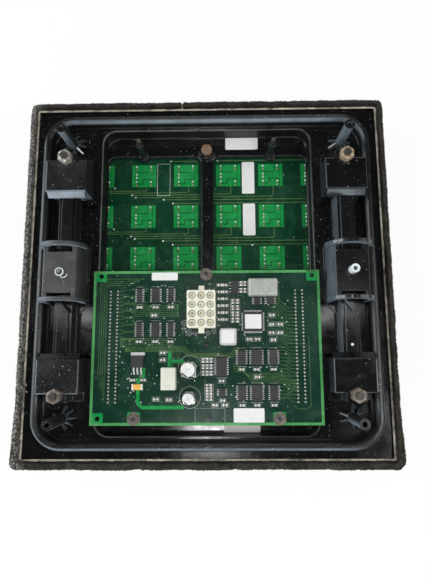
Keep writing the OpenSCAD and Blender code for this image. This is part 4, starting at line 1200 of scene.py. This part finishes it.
# %% Tinned ends
part_l, part_w, part_h = 3.2, 1.6, 0.8
cap_past, cap_round, cap_corner = 0.12, 0.06, 0.08
bodies_bm = bmesh.new()
extra_boxes = []
for x, y in extra_parts:
    a = Vector((x - part_l / 2, y - part_w / 2, board_top))
    b = a + Vector((part_l, part_w, part_h))
    plate(bodies_bm, a.x, a.y, b.x, b.y, a.z, b.z)
    extra_boxes.append((a, b))
piece(bodies_bm, "extra_chip_parts", "chip_part_grey")
ends_bm = bmesh.new()
for boxes, share in ((solids("chip_parts"), 0.24), (extra_boxes, 0.24), (solids("tantalum_capacitor"), 0.12)):
    for a, b in boxes:
        w, l = b.x - a.x, b.y - a.y
        cap = share * max(w, l)
        length, top = cap + cap_past, b.z + cap_round
        if w > l:
            y0, y1 = a.y - cap_round, b.y + cap_round
            for x in (a.x - cap_past, b.x - cap):
                plate(ends_bm, x, y0, x + length, y1, board_top, top, cap_corner)
        else:
            x0, x1 = a.x - cap_round, b.x + cap_round
            for y in (a.y - cap_past, b.y - cap):
                plate(ends_bm, x0, y, x1, y + length, board_top, top, cap_corner)
piece(ends_bm, "tinned_ends", "tinned_lead")

# %% [markdown]
# ## Tops of chips and connector
# The square memory sits in a pale socket with a paper label over it, and the large flat chip has a label
# too. The connector's cells aren't deep black wells: each holds an ivory sleeve that stops just under the
# rim. The sleeves are rings spun from a small section, so that the contact still shows in the middle.

# %% Chip labels and connector sleeves
chip_label_bm = bmesh.new()
low, high = box_mm("memory_ic")
plate(chip_label_bm, low.x + 0.9, low.y + 1.3, high.x - 1.4, high.y - 0.8, high.z, high.z + paper_t, 0.8)
low, high = box_mm("control_ic")
plate(chip_label_bm, low.x + 1.2, low.y + 1.9, high.x - 1.1, high.y - 1.9, high.z, high.z + paper_t, 0.5)
piece(chip_label_bm, "chip_labels", "label_paper")
sleeve_section = ((1.1, -3.0), (1.1, -0.25), (1.35, 0), (2.05, 0), (2.2, -3.0))
sleeve_top = box_mm("connector_shell")[1].z - 0.7
sleeve_bm = bmesh.new()
spin_round(sleeve_bm, sleeve_section, 20)
bmesh.ops.recalc_face_normals(sleeve_bm, faces=sleeve_bm.faces)
sleeve = as_mesh(sleeve_bm, "sleeve")
sleeves_bm = bmesh.new()
stamp(sleeves_bm, sleeve, [at(*middle(a, b), sleeve_top) for a, b in solids("connector_pins")])
piece(sleeves_bm, "connector_sleeves", "connector_ivory")

# %% [markdown]
# ## Glue and converter mark
# Clear glue holds the connector's foot to the board. Its beads are half spheres, squashed and pushed about
# by a noise, in a clear finish that shows mostly by its highlights. The pale box has a half-round mark near
# one end.

# %% Glue beads and converter mark
glue = Finish("clear_glue", 0.12, 500.0, 0.2, Transmission_Weight=0.9, IOR=1.48)
cloud = glue.use(smudge_group, Scale=300.0)["Mask"]
glue.colour(glue.blend(cloud, (0.86, 0.90, 0.86), (0.72, 0.76, 0.70)))
finishes["clear_glue"] = glue.material
beads = ((-15.6, -35.0, 2.6, 1.5), (-16.2, -39.5, 1.9, 1.1), (-12.4, -42.3, 2.9, 1.5),
         (-7.6, -42.6, 2.2, 1.3), (0.8, -42.4, 2.3, 1.3), (5.4, -41.2, 2.4, 1.4), (8.2, -37.4, 1.7, 1.0))
glue_bm = bmesh.new()
for x, y, radius, rise in beads:
    start = len(glue_bm.verts)
    bmesh.ops.create_icosphere(glue_bm, subdivisions=3, radius=radius * MM, matrix=at(x, y, board_top))
    glue_bm.verts.ensure_lookup_table()
    for vert in glue_bm.verts[start:]:
        level = (vert.co.z - board_top * MM) * rise / radius
        vert.co.z = board_top * MM + max(-0.02 * MM, level)
        if level > 0.1 * MM:
            vert.co += noise.noise_vector(vert.co / (1.8 * MM)) * 0.3 * MM
piece(glue_bm, "glue_beads", "clear_glue", smooth=True)
low, high = box_mm("converter_box")
arch = arc((low.x + high.x) / 2, low.y + 1.6, 1.7, 0, 180, 12)
lines("converter_mark", [arch], 0.45, high.z + 0.02, "socket_grey", 0.08)

# %% [markdown]
# ## Tops of the can capacitors
# The cans have a bright, flat top with a scored cross, where they may vent, and a printed dark segment at
# the rim marks the negative side. The top is a thin disc, and the segment is a disc cut by a plane.


# %% Capacitor tops
def disc(bm, radius, z0, z1, place, cut_at=None):
    own = bmesh.new()
    bmesh.ops.create_cone(own, cap_ends=True, segments=40, radius1=radius * MM, radius2=radius * MM,
                          depth=(z1 - z0) * MM)
    if cut_at is not None:
        geom = own.verts[:] + own.edges[:] + own.faces[:]
        cut = bmesh.ops.bisect_plane(own, geom=geom, plane_co=(cut_at * MM, 0, 0), plane_no=(1, 0, 0),
                                     clear_inner=True)
        bmesh.ops.holes_fill(own, edges=only(cut["geom_cut"], BMEdge))
    stamp(bm, as_mesh(own, "disc"), [place @ at(0, 0, (z0 + z1) / 2)])


can_wall, top_t, ink_t = 0.35, 0.08, 0.03
tops_bm, bands_bm, vents = bmesh.new(), bmesh.new(), []
for node, diameter in (("large_capacitor", 10.0), ("small_capacitor", 8.0)):
    low, high = box_mm(node)
    x, y = middle(low, high)
    r = diameter / 2 - can_wall
    disc(tops_bm, r, 0, top_t, at(x, y, high.z))
    disc(bands_bm, r - 0.05, top_t, top_t + ink_t, at(x, y, high.z, 235), 0.78 * r)
    for angle in (35, 125):
        vents.append((arc(x, y, 0.8 * r, angle + 180, angle, 1), high.z + 0.09))
piece(tops_bm, "capacitor_tops", "can_top_metal")
piece(bands_bm, "capacitor_bands", "ink_black")
for k, (path, vent_z) in enumerate(vents):
    lines("capacitor_vent_%d" % k, [path], 0.22, vent_z, "can_metal", ink_t)

# %% [markdown]
# ## Nuts
# Hex nuts have a chamfer on their corners and a bore. A hexagon loop is bridged to a round one for the
# face, and extruded for the body. The top's vertices are then lowered by how far out they lie, which is how
# a lathe leaves a chamfer on a hexagon. The nuts on the driver board have a washer under them.


# %% Nuts
def hex_nut(low, high, bore):
    bm = bmesh.new()
    w, l = high.x - low.x, high.y - low.y
    corner = max(w, l) / 2
    turned = at(0, 0, 0, 0 if w > l else 30)
    hexagon = bmesh.ops.create_circle(bm, segments=6, radius=corner * MM, matrix=turned)["verts"]
    bmesh.ops.subdivide_edges(bm, edges=linked(hexagon, "link_edges"), cuts=3)
    outer = list(bm.edges)
    inner = bmesh.ops.create_circle(bm, segments=24, radius=bore * MM, matrix=turned)["verts"]
    bmesh.ops.bridge_loops(bm, edges=outer + linked(inner, "link_edges"))
    lifted = extrude(bm, bm.faces[:], (0, 0, high.z - low.z), keep=True)[0]
    bmesh.ops.recalc_face_normals(bm, faces=bm.faces)
    for vert in lifted:
        far = vert.co.xy.length / MM
        if far > 1.05 * bore:
            vert.co.z -= max(0.0, far - 0.86 * corner) * 0.75 * MM
    bmesh.ops.translate(bm, vec=Vector((*middle(low, high), low.z)) * MM, verts=bm.verts)
    return bm


stud_r, thread_rise, thread_pitch, bore_gap = 2.5, 0.14, 0.8, 0.02
guide_nuts = (("lower_left_nut", "dull_steel"), ("upper_left_nut", "pale_zinc"),
              ("lower_right_nut", "dull_steel"), ("upper_right_nut", "brassy_steel"))
for (a, b), (name, finish) in zip(solids("guide_nuts"), guide_nuts):
    nut = piece(hex_nut(a, b, stud_r + thread_rise + bore_gap), name, finish)
    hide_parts("guide_nuts")
board_bore, washer_r, washer_t = 1.6, 4.5, 0.5
washer_bm = bmesh.new()
for k, (a, b) in enumerate(solids("board_nuts")):
    nut = piece(hex_nut(a, b, board_bore), "board_nut_%d" % k, "board_steel")
    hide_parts("board_nuts")
    disc(washer_bm, washer_r, 0, washer_t, at(*middle(a, b), board_top))
piece(washer_bm, "board_washers", "dull_steel")

# %% [markdown]
# ## Stud threads
# The end of each guide stud shows its thread above the nut. A real thread is a helix, but at this size
# rings look the same, so a row of ridges is spun round the stud, with a small chamfer at the end.

# %% Stud threads
nut_top = box_mm("guide_nuts")[1].z
thread_bm = bmesh.new()
for a, b in solids("guide_studs"):
    level, end, crest = nut_top - 0.6, b.z + 0.02, stud_r + thread_rise
    points = [(stud_r, level)]
    while level + thread_pitch < b.z:
        points += [(crest, level + 0.15), (crest, level + 0.3), (stud_r + 0.02, level + 0.65)]
        level += thread_pitch
    points += [(stud_r - 0.3, end), (0.01, end)]
    stud_bm = bmesh.new()
    spin_round(stud_bm, points, 24, closed=False)
    stamp(thread_bm, as_mesh(stud_bm, "stud_thread"), [at(*middle(a, b), 0)])
bmesh.ops.remove_doubles(thread_bm, verts=thread_bm.verts, dist=weld)
bmesh.ops.recalc_face_normals(thread_bm, faces=thread_bm.faces)
piece(thread_bm, "stud_threads", "dark_steel")

# %% [markdown]
# ## Marks on the latches
# A ring of dirt lies on the end of the left shaft and turns with it. A smear of white paint curls off
# beside that end on the cover's flat, and a drop of it sits on the right lower bar. The drop rides on that
# bar, so it slides with it. The upper bar gives the drop's height, because the lower one has a fin that
# stands taller.

# %% Latch marks
shaft_low, shaft_high = box_mm("left_drive")
shaft_x, shaft_stands = (shaft_low.x + shaft_high.x) / 2, 1.0
dirt_section = ((1.45, 0), (1.45, 0.04), (2.3, 0.04), (2.3, 0))
dirt_bm = bmesh.new()
spin_round(dirt_bm, dirt_section, 32)
bmesh.ops.recalc_face_normals(dirt_bm, faces=dirt_bm.faces)
bmesh.ops.translate(dirt_bm, vec=Vector((shaft_x, 0, shaft_high.z)) * MM, verts=dirt_bm.verts)
piece(dirt_bm, "shaft_dirt", "worn_sheen_latch", "left_drive")
curl = arc(shaft_x + 2.4, -1.1, 2.9, -125, -10, 16)
lines("paint_smear", [curl], 0.8, shaft_high.z - shaft_stands + 0.03, "nylon_white")
bar_low, bar_high = box_mm("right_upper_bar")
drop_x, drop_y = (bar_low.x + bar_high.x) / 2, -51.2
drop_bm = bmesh.new()
stamp(drop_bm, solder_point("paint_drop", 1.1, 0.4, 0.0), [at(drop_x, drop_y, bar_high.z)])
piece(drop_bm, "paint_drop", "nylon_white", "right_lower_bar", smooth=True)

# %% Finish
bpy.context.view_layer.update()
low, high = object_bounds()
print("visual box", [round(s / MM, 1) for s in high - low], "mm")
